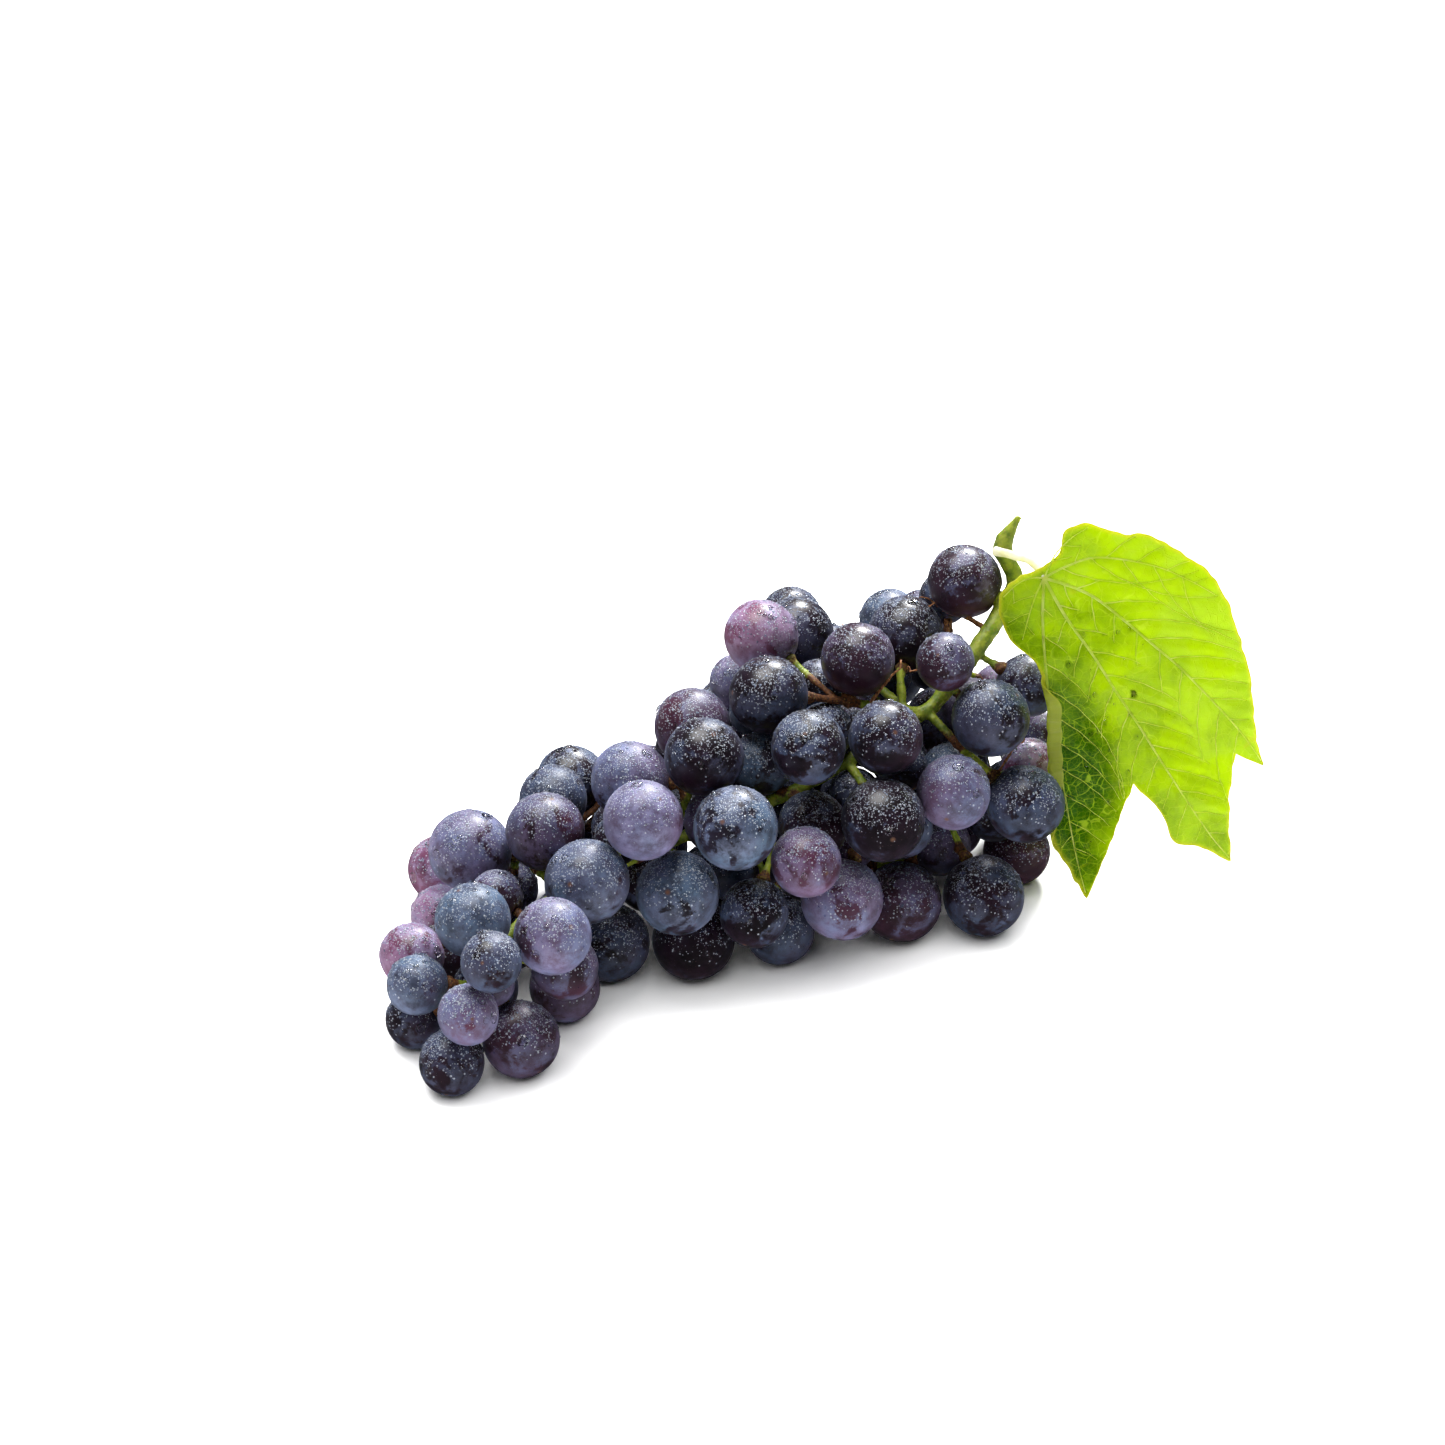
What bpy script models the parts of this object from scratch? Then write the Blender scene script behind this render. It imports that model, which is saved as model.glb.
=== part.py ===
"""A bunch of dark grapes, as picked, lying on its side on a flat surface.

The bunch is one branching green stem, its berries and one leaf.  Each berry is set out
from the bunch's own axis: how far along it, which way round it and how far out.  The
layout then moves berries and stalks apart until none touches another, so a changed size
still gives a bunch whose pieces fit.

Lengths are in millimetres until a mesh is made; meshes are in metres, +Z up, and the
origin is the middle of the bottom of the whole object's box.
"""

import math
from dataclasses import dataclass
from enum import Enum

import bmesh
import bpy
import numpy as np
from mathutils import Vector

MM = 0.001

# --- Driving dimensions, millimetres ------------------------------------------------

AXIS_LENGTH = 157.0          # main stem, from the tail to the fork
STATIONS_LENGTH = 157.0      # the main stem's length that the stations below are for
HUGE = 21.4                  # berry diameters, largest class first
LARGE = 20.2
FULL = 19.2
MEDIUM = 18.0
SMALL = 16.6
TINY = 15.2

MAIN_STEM_DIAMETER = 3.6     # at the fork
TAIL_STEM_DIAMETER = 2.0     # at the end of the tail
BRANCH_DIAMETER = 2.4
STALK_DIAMETER = 1.7         # a berry's own stalk
COLLAR_DIAMETER = 3.4        # where the stalk widens at its berry
PEDUNCLE_DIAMETER = 4.4
KNOB_DIAMETER = 6.0          # the swelling where the leaf stalk starts
HORN_TIP_DIAMETER = 1.4      # the cut, pointed end of the peduncle

LEAF_WIDTH = 68.5            # from its outermost left to its outermost right
LEAF_LENGTH = 115.0          # top edge to lowest tip
LEAF_THICKNESS = 0.8
LEAF_STALK_DIAMETER = 2.0

GAP = 0.35                   # air between any two pieces
CONTACT_DEPTH = 0.4          # how far a resting berry is pressed flat
STALK_STAND = 3.2            # the stalk's straight run above its berry
COLLAR_LENGTH = 1.0

# --- Routes, hand-placed points along each, millimetres --------------------------------

# Main stem from the tail to the fork; its shape is kept and its length is AXIS_LENGTH.
MAIN_ROUTE = ((-66, -60, 16), (-48, -29, 26), (-15, -6, 31), (20, 4, 42), (54, 22, 55))
# Peduncle, from the fork up to the horn, measured from the fork.
PEDUNCLE_ROUTE = ((0, 0, 0), (7, 5, 7), (14, 11, 15), (19, 18, 20), (22, 22, 25),
                  (18, 23, 34), (22, 23, 43))
KNOB_POINT = 5
# Leaf stalk, measured from the knob's middle.
LEAF_STALK_ROUTE = ((-1.0, -4.6, 1.2), (2, -8, 2.4), (7, -11, 2), (13, -15, 0))


class Skin(Enum):
    """The colours a ripe berry of this bunch can have."""

    NAVY = (0.020, 0.026, 0.060)
    STEEL = (0.060, 0.090, 0.150)
    PLUM = (0.090, 0.030, 0.060)
    MAUVE = (0.140, 0.080, 0.140)
    ROSE = (0.240, 0.080, 0.110)


@dataclass(frozen=True)
class Berry:
    """One berry's place on the bunch.

    station: millimetres along the axis from the tail, on a stem STATIONS_LENGTH long.
    clock: degrees round the axis, 0 straight up and positive towards the front.
    reach: millimetres from the axis to the berry's middle.
    size: diameter.
    skin: colour.
    """

    station: float
    clock: float
    reach: float
    size: float
    skin: Skin


@dataclass(frozen=True)
class Branch:
    """A side branch: its name, where it leaves the axis, and its berries."""

    name: str
    joint: float
    berries: tuple


NAVY, STEEL, PLUM, MAUVE, ROSE = Skin

BRANCHES = (
    Branch("tail", 6, (
        Berry(-5, 160, 7, SMALL, NAVY),
        Berry(-3, 45, 11, TINY, MAUVE),
        Berry(3, -125, 18, TINY, NAVY),
        Berry(3, -65, 12, TINY, STEEL),
        Berry(6, 120, 16, FULL, PLUM),
    )),
    Branch("tail_front", 22, (
        Berry(5, 30, 25, TINY, NAVY),
        Berry(20, 50, 27, FULL, MAUVE),
        Berry(25, 90, 18, SMALL, PLUM),
        Berry(33, 145, 20, MEDIUM, PLUM),
    )),
    Branch("tail_back", 30, (
        Berry(22, -20, 10, FULL, STEEL),
        Berry(17, -100, 22, SMALL, ROSE),
        Berry(36, -115, 38, SMALL, ROSE),
    )),
    Branch("left_back", 48, (
        Berry(41, -80, 26, HUGE, MAUVE),
        Berry(51, -45, 15, LARGE, PLUM),
        Berry(62, -75, 27, MEDIUM, NAVY),
        Berry(45, -110, 54, MEDIUM, ROSE),
    )),
    Branch("left_front", 58, (
        Berry(51, 50, 14, HUGE, STEEL),
        Berry(59, 165, 19, LARGE, NAVY),
        Berry(65, 35, 27, LARGE, MAUVE),
    )),
    Branch("hollow_back", 76, (
        Berry(72, -90, 39, FULL, NAVY),
        Berry(85, -95, 32, FULL, PLUM),
        Berry(81, -125, 37, LARGE, NAVY),
    )),
    Branch("middle_front", 74, (
        Berry(72, 90, 20, HUGE, STEEL),
        Berry(75, 145, 25, HUGE, NAVY),
        Berry(93, 120, 27, MEDIUM, NAVY),
    )),
    Branch("middle_top", 86, (
        Berry(76, -25, 19, LARGE, MAUVE),
        Berry(96, -30, 25, LARGE, PLUM),
        Berry(96, 15, 26, LARGE, NAVY),
    )),
    Branch("belly", 98, (
        Berry(97, 60, 29, HUGE, STEEL),
        Berry(109, 95, 25, MEDIUM, MAUVE),
        Berry(113, 135, 30, HUGE, MAUVE),
        Berry(98, 155, 32, MEDIUM, NAVY),
        Berry(114, 110, 10, MEDIUM, NAVY),
    )),
    Branch("lower_back", 106, (
        Berry(102, -120, 47, LARGE, NAVY),
        Berry(139, -110, 50, FULL, STEEL),
        Berry(136, -135, 55, LARGE, PLUM),
    )),
    Branch("top_left", 154, (
        Berry(118, -20, 25, LARGE, NAVY),
        Berry(119, 30, 23, FULL, NAVY),
        Berry(130, -50, 39, FULL, ROSE),
    )),
    Branch("top_back", 152, (
        Berry(144, -75, 38, LARGE, NAVY),
        Berry(148, -85, 55, SMALL, NAVY),
    )),
    Branch("front_right", 130, (
        Berry(127, 95, 23, HUGE, NAVY),
        Berry(137, 50, 18, FULL, NAVY),
        Berry(127, 155, 40, HUGE, PLUM),
    )),
    Branch("crown", 148, (
        Berry(145, -25, 21, FULL, PLUM),
        Berry(162, -60, 20, LARGE, NAVY),
        Berry(166, -85, 35, SMALL, STEEL),
        Berry(162, 20, 17, TINY, PLUM),
    )),
    Branch("under_right", 142, (
        Berry(143, 150, 49, HUGE, NAVY),
        Berry(163, 170, 52, MEDIUM, PLUM),
        Berry(159, -150, 54, LARGE, NAVY),
        Berry(174, -170, 50, FULL, STEEL),
    )),
    Branch("right", 155, (
        Berry(145, 105, 25, FULL, MAUVE),
        Berry(164, 90, 16, LARGE, NAVY),
        Berry(163, 130, 34, LARGE, NAVY),
    )),
    Branch("shoulder", 157, (
        Berry(182, -40, 23, FULL, PLUM),
        Berry(180, 140, 8, SMALL, NAVY),
        Berry(164, -115, 48, FULL, NAVY),
    )),
)

# Berries deep inside the bunch.  They have no part of their own here, but the others
# leave them their room.
INNER_BERRIES = (
    Berry(48, -115, 27, TINY, PLUM),
    Berry(88, -105, 14, TINY, NAVY),
    Berry(97, -85, 34, FULL, PLUM),
    Berry(109, -30, 10, SMALL, STEEL),
    Berry(116, -75, 38, TINY, MAUVE),
    Berry(140, -75, 21, TINY, NAVY),
    Berry(144, 170, 37, SMALL, PLUM),
    Berry(151, 160, 17, SMALL, STEEL),
    Berry(163, -140, 25, MEDIUM, PLUM),
    Berry(169, -170, 10, SMALL, PLUM),
    Berry(174, 165, 29, TINY, ROSE),
    Berry(177, -140, 37, MEDIUM, NAVY),
    Berry(180, -150, 21, TINY, ROSE),
    Berry(185, 180, 30, SMALL, PLUM),
)

# The leaf's outline, clockwise from the notch at its stalk, as shares of its width to the
# right and of its length down.
LEAF_OUTLINE = (
    (0.00, -0.03), (0.05, -0.065), (0.07, -0.12), (0.13, -0.145), (0.20, -0.135),
    (0.28, -0.115), (0.37, -0.115), (0.48, -0.07), (0.56, -0.03), (0.62, 0.02),
    (0.67, 0.085), (0.73, 0.20), (0.765, 0.30), (0.785, 0.40), (0.83, 0.495),
    (0.72, 0.46), (0.71, 0.54), (0.715, 0.66), (0.73, 0.76), (0.60, 0.715),
    (0.51, 0.705), (0.45, 0.62), (0.34, 0.545), (0.30, 0.61), (0.26, 0.70),
    (0.22, 0.77), (0.18, 0.85), (0.13, 0.79), (0.07, 0.72), (0.045, 0.66),
    (0.04, 0.55), (0.03, 0.42), (0.02, 0.31), (-0.02, 0.22), (-0.11, 0.16),
    (-0.155, 0.09), (-0.15, 0.04), (-0.10, 0.00), (-0.04, -0.015),
)
LEAF_HEART = (0.33, 0.30)    # the point that the blade's rings close in on
MIDRIB = ((0.03, 0.03), (0.08, 0.08), (0.14, 0.14))  # the stalk's run into the blade
LEAF_TIP_SHARE = 0.83        # how far right the outermost tip is, as a share of the width
LEAF_LEAN = 0.25             # how far the blade's left comes forward, per unit down
LEAF_TWIST = 0.93            # how much of that lean is gone at the right tip
LEAF_CUP = 5.0               # how far its middle bows forward at its foot, millimetres
LEAF_LIFT = 0.6              # how much higher it hangs for each unit it comes forward
LEAF_CLEARANCE = 4.0         # least height of its lowest tip over the surface, millimetres
LEAF_RINGS = 5


# --- Small geometry helpers ----------------------------------------------------------

def smooth_route(points, spacing):
    """Points about `spacing` apart on a smooth curve through `points`."""
    points = np.asarray(points, float)
    ends = np.vstack([2 * points[0] - points[1], points, 2 * points[-1] - points[-2]])
    fine = []
    for before, start, stop, after in zip(ends, ends[1:], ends[2:], ends[3:]):
        for t in np.linspace(0.0, 1.0, 16, endpoint=False):
            fine.append(0.5 * (2 * start + (stop - before) * t
                               + (2 * before - 5 * start + 4 * stop - after) * t ** 2
                               + (3 * start - 3 * stop + after - before) * t ** 3))
    fine.append(points[-1])
    fine = np.array(fine)
    along = np.r_[0.0, np.cumsum(np.linalg.norm(np.diff(fine, axis=0), axis=1))]
    count = max(2, round(along[-1] / spacing) + 1)
    wanted = np.linspace(0.0, along[-1], count)
    return np.column_stack([np.interp(wanted, along, fine[:, k]) for k in range(3)])


def unit(vectors):
    """Each row divided by its own length."""
    return vectors / np.linalg.norm(vectors, axis=-1, keepdims=True)


def straight_line(start, stop, spacing):
    """Points about `spacing` apart from one place to another, three at least."""
    count = max(3, round(np.linalg.norm(stop - start) / spacing) + 1)
    return start + (stop - start) * np.linspace(0.0, 1.0, count)[:, None]


def straighten(line, amount):
    """Move each inner point of a line towards the middle of its neighbours."""
    line[1:-1] += amount * ((line[:-2] + line[2:]) / 2 - line[1:-1])


def scaled_main_route():
    """The main stem's route, stretched about its middle to AXIS_LENGTH."""
    route = np.array(MAIN_ROUTE, float)
    fine = smooth_route(route, 1.0)
    length = np.linalg.norm(np.diff(fine, axis=0), axis=1).sum()
    middle = route.mean(axis=0)
    stretch = np.array([AXIS_LENGTH / length, AXIS_LENGTH / length, 1.0])
    return middle + (route - middle) * stretch


class Axis:
    """The bunch's axis: the main stem's line, running on straight past both ends."""

    def __init__(self, route):
        self.points = smooth_route(route, 0.5)
        steps = np.linalg.norm(np.diff(self.points, axis=0), axis=1)
        self.along = np.r_[0.0, np.cumsum(steps)]
        self.tangents = unit(np.gradient(self.points, axis=0))

    def place(self, station, clock, reach):
        """The point at a station, a clock angle and a reach from the axis."""
        along = station / STATIONS_LENGTH * self.along[-1]
        index = int(np.clip(np.searchsorted(self.along, along), 0, len(self.along) - 1))
        tangent = self.tangents[index]
        foot = self.points[index] + tangent * (along - self.along[index])
        up = unit(np.array([0.0, 0.0, 1.0]) - tangent * tangent[2])
        front = np.cross(tangent, up)
        angle = math.radians(clock)
        return foot + reach * (math.cos(angle) * up + math.sin(angle) * front)


# --- Leaf surface ----------------------------------------------------------------------

def leaf_surface(shares, junction):
    """Places on the hanging blade for rows of (share of width, share of length)."""
    right = shares[:, 0] * LEAF_WIDTH
    down = shares[:, 1] * LEAF_LENGTH
    across = np.clip(shares[:, 0] / LEAF_TIP_SHARE, 0.0, 1.0)
    lean = LEAF_LEAN * down * (1.0 - LEAF_TWIST * across)
    cup = LEAF_CUP * np.sin(np.pi * across) * shares[:, 1]
    forward = lean + cup
    return np.column_stack([junction[0] + right,
                            junction[1] - forward,
                            junction[2] - down + LEAF_LIFT * forward])


def leaf_rings(junction):
    """The blade as rings of points, from its heart out to its outline."""
    outline = np.array(LEAF_OUTLINE)
    heart = np.array(LEAF_HEART)
    rings = []
    for ring in range(1, LEAF_RINGS + 1):
        shares = heart + (outline - heart) * ring / LEAF_RINGS
        rings.append(leaf_surface(shares, junction))
    return leaf_surface(heart[None], junction)[0], rings


# --- Layout ----------------------------------------------------------------------------

class Layout:
    """Where every berry, branch and stalk goes, in millimetres."""

    ROUNDS = 500
    CALM_ROUNDS = 60         # last rounds, when stalks are no longer smoothed
    HOME_PULL = 0.04         # share of the way back to its place a berry is pulled
    PULL_UNTIL = 0.6         # share of the rounds after which that pull has faded
    PUSH = 0.9               # share of an overlap between berries taken out each round
    YIELD = 0.5              # share of a crossing with a stalk that the berry gives way
    SMOOTHING = 0.35         # how much a line straightens each round
    MAIN_STEP = 4.0          # spacing of points along the main stem
    BRANCH_STEP = 3.0
    STALK_STEP = 3.2
    TEST_STEP = 2.0          # spacing of the points that berries are kept off
    BRANCH_REACH = 0.75      # how far a branch runs towards the middle of its berries
    NEAR_TABLE = 2.5         # a berry set this close to the surface rests on it
    LIFT_OFF = 0.6           # any other berry keeps at least this far above it
    SHARED_COST = 8.0        # millimetres a stalk goes round to start on its own
    BLOCKED_COST = 16.0      # and for each millimetre of berry in its straight way
    PEDUNCLE_BARE = 6        # points at the peduncle's end that carry no stalk

    def __init__(self):
        self.main_route = scaled_main_route()
        self.axis = Axis(self.main_route)
        fork = self.main_route[-1]
        self.main = smooth_route(self.main_route, self.MAIN_STEP)
        self.peduncle_route = fork + np.array(PEDUNCLE_ROUTE, float)
        self.peduncle = smooth_route(self.peduncle_route, 3.5)
        self.knob = self.peduncle_route[KNOB_POINT]
        self.leaf_stalk = smooth_route(self.leaf_stalk_route(), 3.5)

        named = [(branch.name, berry) for branch in BRANCHES for berry in branch.berries]
        self.names = [name for name, _ in named]
        self.berries = [berry for _, berry in named]
        everyone = self.berries + list(INNER_BERRIES)
        self.radii = np.array([berry.size / 2 for berry in everyone])
        self.home = np.array([self.axis.place(berry.station, berry.clock, berry.reach)
                              for berry in everyone])
        self.lowest = self.radii - CONTACT_DEPTH
        self.home[:, 2] = np.maximum(self.home[:, 2], self.lowest)
        self.resting = self.home[:, 2] < self.radii + self.NEAR_TABLE
        self.middles = self.home.copy()

        self.fixed, self.fixed_radii = self.fixed_points()
        self.spread_berries()
        self.branches = self.lay_branches()
        self.stalks = self.lay_stalks()
        self.settle_stalks()

    def leaf_stalk_route(self):
        """The leaf's stalk, which stands higher where a long blade would touch the surface."""
        route = self.knob + np.array(LEAF_STALK_ROUTE)
        outline = leaf_surface(np.array(LEAF_OUTLINE), route[-1])
        rise = max(0.0, LEAF_CLEARANCE - outline[:, 2].min())
        route[:, 2] += rise * np.linspace(0.0, 1.0, len(route))
        return route

    def fixed_points(self):
        """Points that berries must clear, with how thick the stem or leaf is there."""
        _, rings = leaf_rings(self.leaf_stalk[-1])
        groups = (
            (smooth_route(self.main_route, self.TEST_STEP), MAIN_STEM_DIAMETER / 2),
            (smooth_route(self.peduncle, self.TEST_STEP), PEDUNCLE_DIAMETER / 2),
            (self.knob[None], KNOB_DIAMETER / 2),
            (smooth_route(self.leaf_stalk, self.TEST_STEP), LEAF_STALK_DIAMETER / 2),
            (np.vstack(rings), 1.5 * LEAF_THICKNESS),
        )
        points = np.vstack([points for points, _ in groups])
        radii = np.concatenate([np.full(len(points), radius) for points, radius in groups])
        return points, radii

    def push_apart(self):
        """Half of every overlap between two berries, as a move for each."""
        offset = self.middles[:, None] - self.middles[None]
        distance = np.linalg.norm(offset, axis=2)
        np.fill_diagonal(distance, np.inf)
        wanted = self.radii[:, None] + self.radii[None] + GAP
        short = np.clip(wanted - distance, 0.0, None)
        return (offset / distance[..., None] * short[..., None]).sum(axis=1) / 2

    def push_from(self, points, radii, share):
        """How far berries, and the points themselves, move to clear one another.

        `share` is the part of each overlap that the berry gives way.
        """
        offset = self.middles[:, None] - points[None]
        distance = np.linalg.norm(offset, axis=2)
        wanted = self.radii[:, None] + radii[None] + GAP
        short = np.clip(wanted - distance, 0.0, None)
        move = offset / distance[..., None] * short[..., None]
        deepest = short.argmax(axis=1)
        berries = move[np.arange(len(move)), deepest] * share
        return berries, -move.sum(axis=0) * (1.0 - share)

    def clear_solids(self):
        """One round of moving berries off each other, the stem, the leaf and the table."""
        self.middles += self.PUSH * self.push_apart()
        self.middles += self.push_from(self.fixed, self.fixed_radii, 1.0)[0]
        self.middles[self.resting, 2] = self.lowest[self.resting]
        free = ~self.resting
        floor = self.lowest[free] + self.LIFT_OFF
        self.middles[free, 2] = np.maximum(self.middles[free, 2], floor)

    def spread_berries(self):
        """Move berries apart, and off the stem and leaf, near where they were set."""
        for turn in range(self.ROUNDS):
            left = 1.0 - turn / (self.PULL_UNTIL * self.ROUNDS)
            self.middles += self.HOME_PULL * max(0.0, left) * (self.home - self.middles)
            self.clear_solids()

    def lay_branches(self):
        """A line for each branch, from the main stem to among its berries."""
        branches = []
        first = 0
        for branch in BRANCHES:
            group = self.middles[first:first + len(branch.berries)]
            first += len(branch.berries)
            start = self.axis.place(branch.joint, 0.0, 0.0)
            stop = start + (group.mean(axis=0) - start) * self.BRANCH_REACH
            branches.append(straight_line(start, stop, self.BRANCH_STEP))
        for _ in range(self.ROUNDS // 2):
            for line in branches:
                straighten(line, self.SMOOTHING)
                radii = np.full(len(line), BRANCH_DIAMETER / 2)
                berries, own = self.push_from(line, radii, self.YIELD)
                line[1:] += self.YIELD * own[1:]
                self.middles += self.YIELD * berries
            self.clear_solids()
        return branches

    def lay_stalks(self):
        """A stalk for each berry, from the clearest nearby point of the stem."""
        sources = np.vstack([self.main[1:-1]] + [line[1:-1] for line in self.branches]
                            + [self.peduncle[1:-self.PEDUNCLE_BARE]])
        taken = np.zeros(len(sources))
        stalks = []
        for index in range(len(self.berries)):
            middle = self.middles[index]
            toward = sources - middle
            cost = np.linalg.norm(toward, axis=1) + self.SHARED_COST * taken
            cost += [self.BLOCKED_COST * self.blocked(source, index)
                     for source in sources]
            best = int(np.argmin(cost))
            taken[best] += 1
            stand = middle + unit(toward[best]) * (self.radii[index] + STALK_STAND)
            stalks.append(straight_line(sources[best], stand, self.STALK_STEP))
        return stalks

    def blocked(self, source, index):
        """Mean depth in other berries of a straight stalk to a berry."""
        share = np.linspace(0.0, 0.8, 9)[:, None]
        samples = source + (self.middles[index] - source) * share
        distance = np.linalg.norm(samples[:, None] - self.middles[None], axis=2)
        depth = np.clip(self.radii[None] + STALK_DIAMETER / 2 + GAP - distance, 0.0, None)
        depth[:, index] = 0.0
        return depth.sum() / len(samples)

    def settle_stalks(self):
        """Let stalks find their way between berries, and berries give them room."""
        stalk_radius = STALK_DIAMETER / 2 + 0.1
        for turn in range(self.ROUNDS):
            smoothing = self.SMOOTHING if turn < self.ROUNDS - self.CALM_ROUNDS else 0.0
            for line in self.stalks:
                straighten(line, smoothing)
            lines = np.vstack(self.stalks)
            berries, own = self.push_from(lines, np.full(len(lines), stalk_radius),
                                          self.YIELD)
            self.middles += self.YIELD * berries
            for line in self.branches:
                radii = np.full(len(line), BRANCH_DIAMETER / 2)
                self.middles += self.push_from(line, radii, 1.0)[0]
            self.clear_solids()
            first = 0
            for index, line in enumerate(self.stalks):
                line[1:] += self.YIELD * own[first + 1:first + len(line)]
                first += len(line)
                away = unit(line[-1] - self.middles[index])
                line[-1] = self.middles[index] + away * (self.radii[index] + STALK_STAND)

    def stalk_line(self, index):
        """A stalk's points, from the stem to the face of its berry."""
        line = self.stalks[index]
        away = unit(line[-1] - self.middles[index])
        face = self.radii[index] + GAP
        ends = [self.middles[index] + away * (face + COLLAR_LENGTH),
                self.middles[index] + away * face]
        return np.vstack([line, ends])


# --- Meshes ----------------------------------------------------------------------------

def clear_scene():
    """Remove every object of the scene."""
    for thing in list(bpy.data.objects):
        bpy.data.objects.remove(thing, do_unlink=True)


def principled(name, colour, roughness):
    """A plain Principled material."""
    material = bpy.data.materials.new(name)
    material.use_nodes = True
    shader = material.node_tree.nodes["Principled BSDF"]
    shader.inputs["Base Color"].default_value = (*colour, 1.0)
    shader.inputs["Roughness"].default_value = roughness
    shader.inputs["Metallic"].default_value = 0.0
    return material


def object_from(name, mesh_builder, material):
    """A smooth-shaded scene object made from a bmesh, which is freed."""
    mesh = bpy.data.meshes.new(name)
    mesh_builder.to_mesh(mesh)
    mesh_builder.free()
    mesh.shade_smooth()
    thing = bpy.data.objects.new(name, mesh)
    thing.data.materials.append(material)
    bpy.context.scene.collection.objects.link(thing)
    return thing


def tube_object(name, points, diameters, sides, material):
    """A closed tube along `points` (millimetres)."""
    target = bmesh.new()
    points = [Vector(point) * MM for point in points]
    tangents = []
    for i, point in enumerate(points):
        before = points[max(i - 1, 0)]
        after = points[min(i + 1, len(points) - 1)]
        tangents.append((after - before).normalized())
    across = tangents[0].orthogonal().normalized()
    rings = []
    for point, tangent, diameter in zip(points, tangents, diameters):
        across = (across - tangent * across.dot(tangent)).normalized()
        beside = tangent.cross(across)
        ring = []
        for k in range(sides):
            angle = 2.0 * math.pi * k / sides
            arm = across * math.cos(angle) + beside * math.sin(angle)
            ring.append(target.verts.new(point + arm * diameter * MM / 2))
        rings.append(ring)
    for low, high in zip(rings, rings[1:]):
        for k in range(sides):
            following = (k + 1) % sides
            target.faces.new((low[k], low[following], high[following], high[k]))
    target.faces.new(reversed(rings[0]))
    target.faces.new(rings[-1])
    return object_from(name, target, material)


def unite(thing, cutters):
    """Join closed cutters onto an object with one exact union."""
    group = bpy.data.collections.new(f"{thing.name}_arms")
    for cutter in cutters:
        group.objects.link(cutter)
        cutter.hide_render = True
        cutter.display_type = "WIRE"
    union = thing.modifiers.new("union", "BOOLEAN")
    union.operation = "UNION"
    union.solver = "EXACT"
    union.operand_type = "COLLECTION"
    union.collection = group


def peduncle_diameters(layout):
    """How thick the peduncle is at each of its points, knob and cut tip included."""
    along = np.linspace(0.0, 1.0, len(layout.peduncle))
    marks = (0.0, 0.3, 0.7, 0.9, 1.0)
    sizes = (MAIN_STEM_DIAMETER, PEDUNCLE_DIAMETER, PEDUNCLE_DIAMETER,
             0.8 * PEDUNCLE_DIAMETER, HORN_TIP_DIAMETER)
    from_knob = np.linalg.norm(layout.peduncle - layout.knob, axis=1)
    swelling = np.exp(-(from_knob / (KNOB_DIAMETER / 2)) ** 2)
    return np.interp(along, marks, sizes) + (KNOB_DIAMETER - PEDUNCLE_DIAMETER) * swelling


def make_stem(layout, offset, material, guide):
    """The whole branching stem as one body."""
    main = smooth_route(layout.main_route, 5.0) - offset
    sizes = np.linspace(TAIL_STEM_DIAMETER, MAIN_STEM_DIAMETER, len(main))
    stem = tube_object("stem", main, sizes, 8, material)
    arms = [tube_object("peduncle", layout.peduncle - offset, peduncle_diameters(layout),
                        8, guide)]
    for line in layout.branches:
        sizes = np.linspace(BRANCH_DIAMETER, 0.8 * BRANCH_DIAMETER, len(line))
        arms.append(tube_object("branch", line - offset, sizes, 6, guide))
    for index in range(len(layout.berries)):
        line = layout.stalk_line(index)
        sizes = np.full(len(line), STALK_DIAMETER)
        sizes[0] *= 0.8
        sizes[-2] = 0.8 * COLLAR_DIAMETER
        sizes[-1] = COLLAR_DIAMETER
        arms.append(tube_object("stalk", line - offset, sizes, 5, guide))
    unite(stem, arms)


def make_berry(name, middle, radius, material):
    """A berry: a ball, cut flat where it rests on the surface."""
    ball = bmesh.new()
    bmesh.ops.create_icosphere(ball, subdivisions=2, radius=radius * MM)
    if middle[2] < radius:
        geometry = ball.verts[:] + ball.edges[:] + ball.faces[:]
        surface = (0.0, 0.0, -middle[2] * MM)
        cut = bmesh.ops.bisect_plane(ball, geom=geometry, plane_co=surface,
                                     plane_no=(0, 0, 1), clear_inner=True)
        rim = [item for item in cut["geom_cut"] if isinstance(item, bmesh.types.BMEdge)]
        bmesh.ops.contextual_create(ball, geom=rim)
        bmesh.ops.recalc_face_normals(ball, faces=ball.faces[:])
    object_from(name, ball, material).location = Vector(middle) * MM


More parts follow.
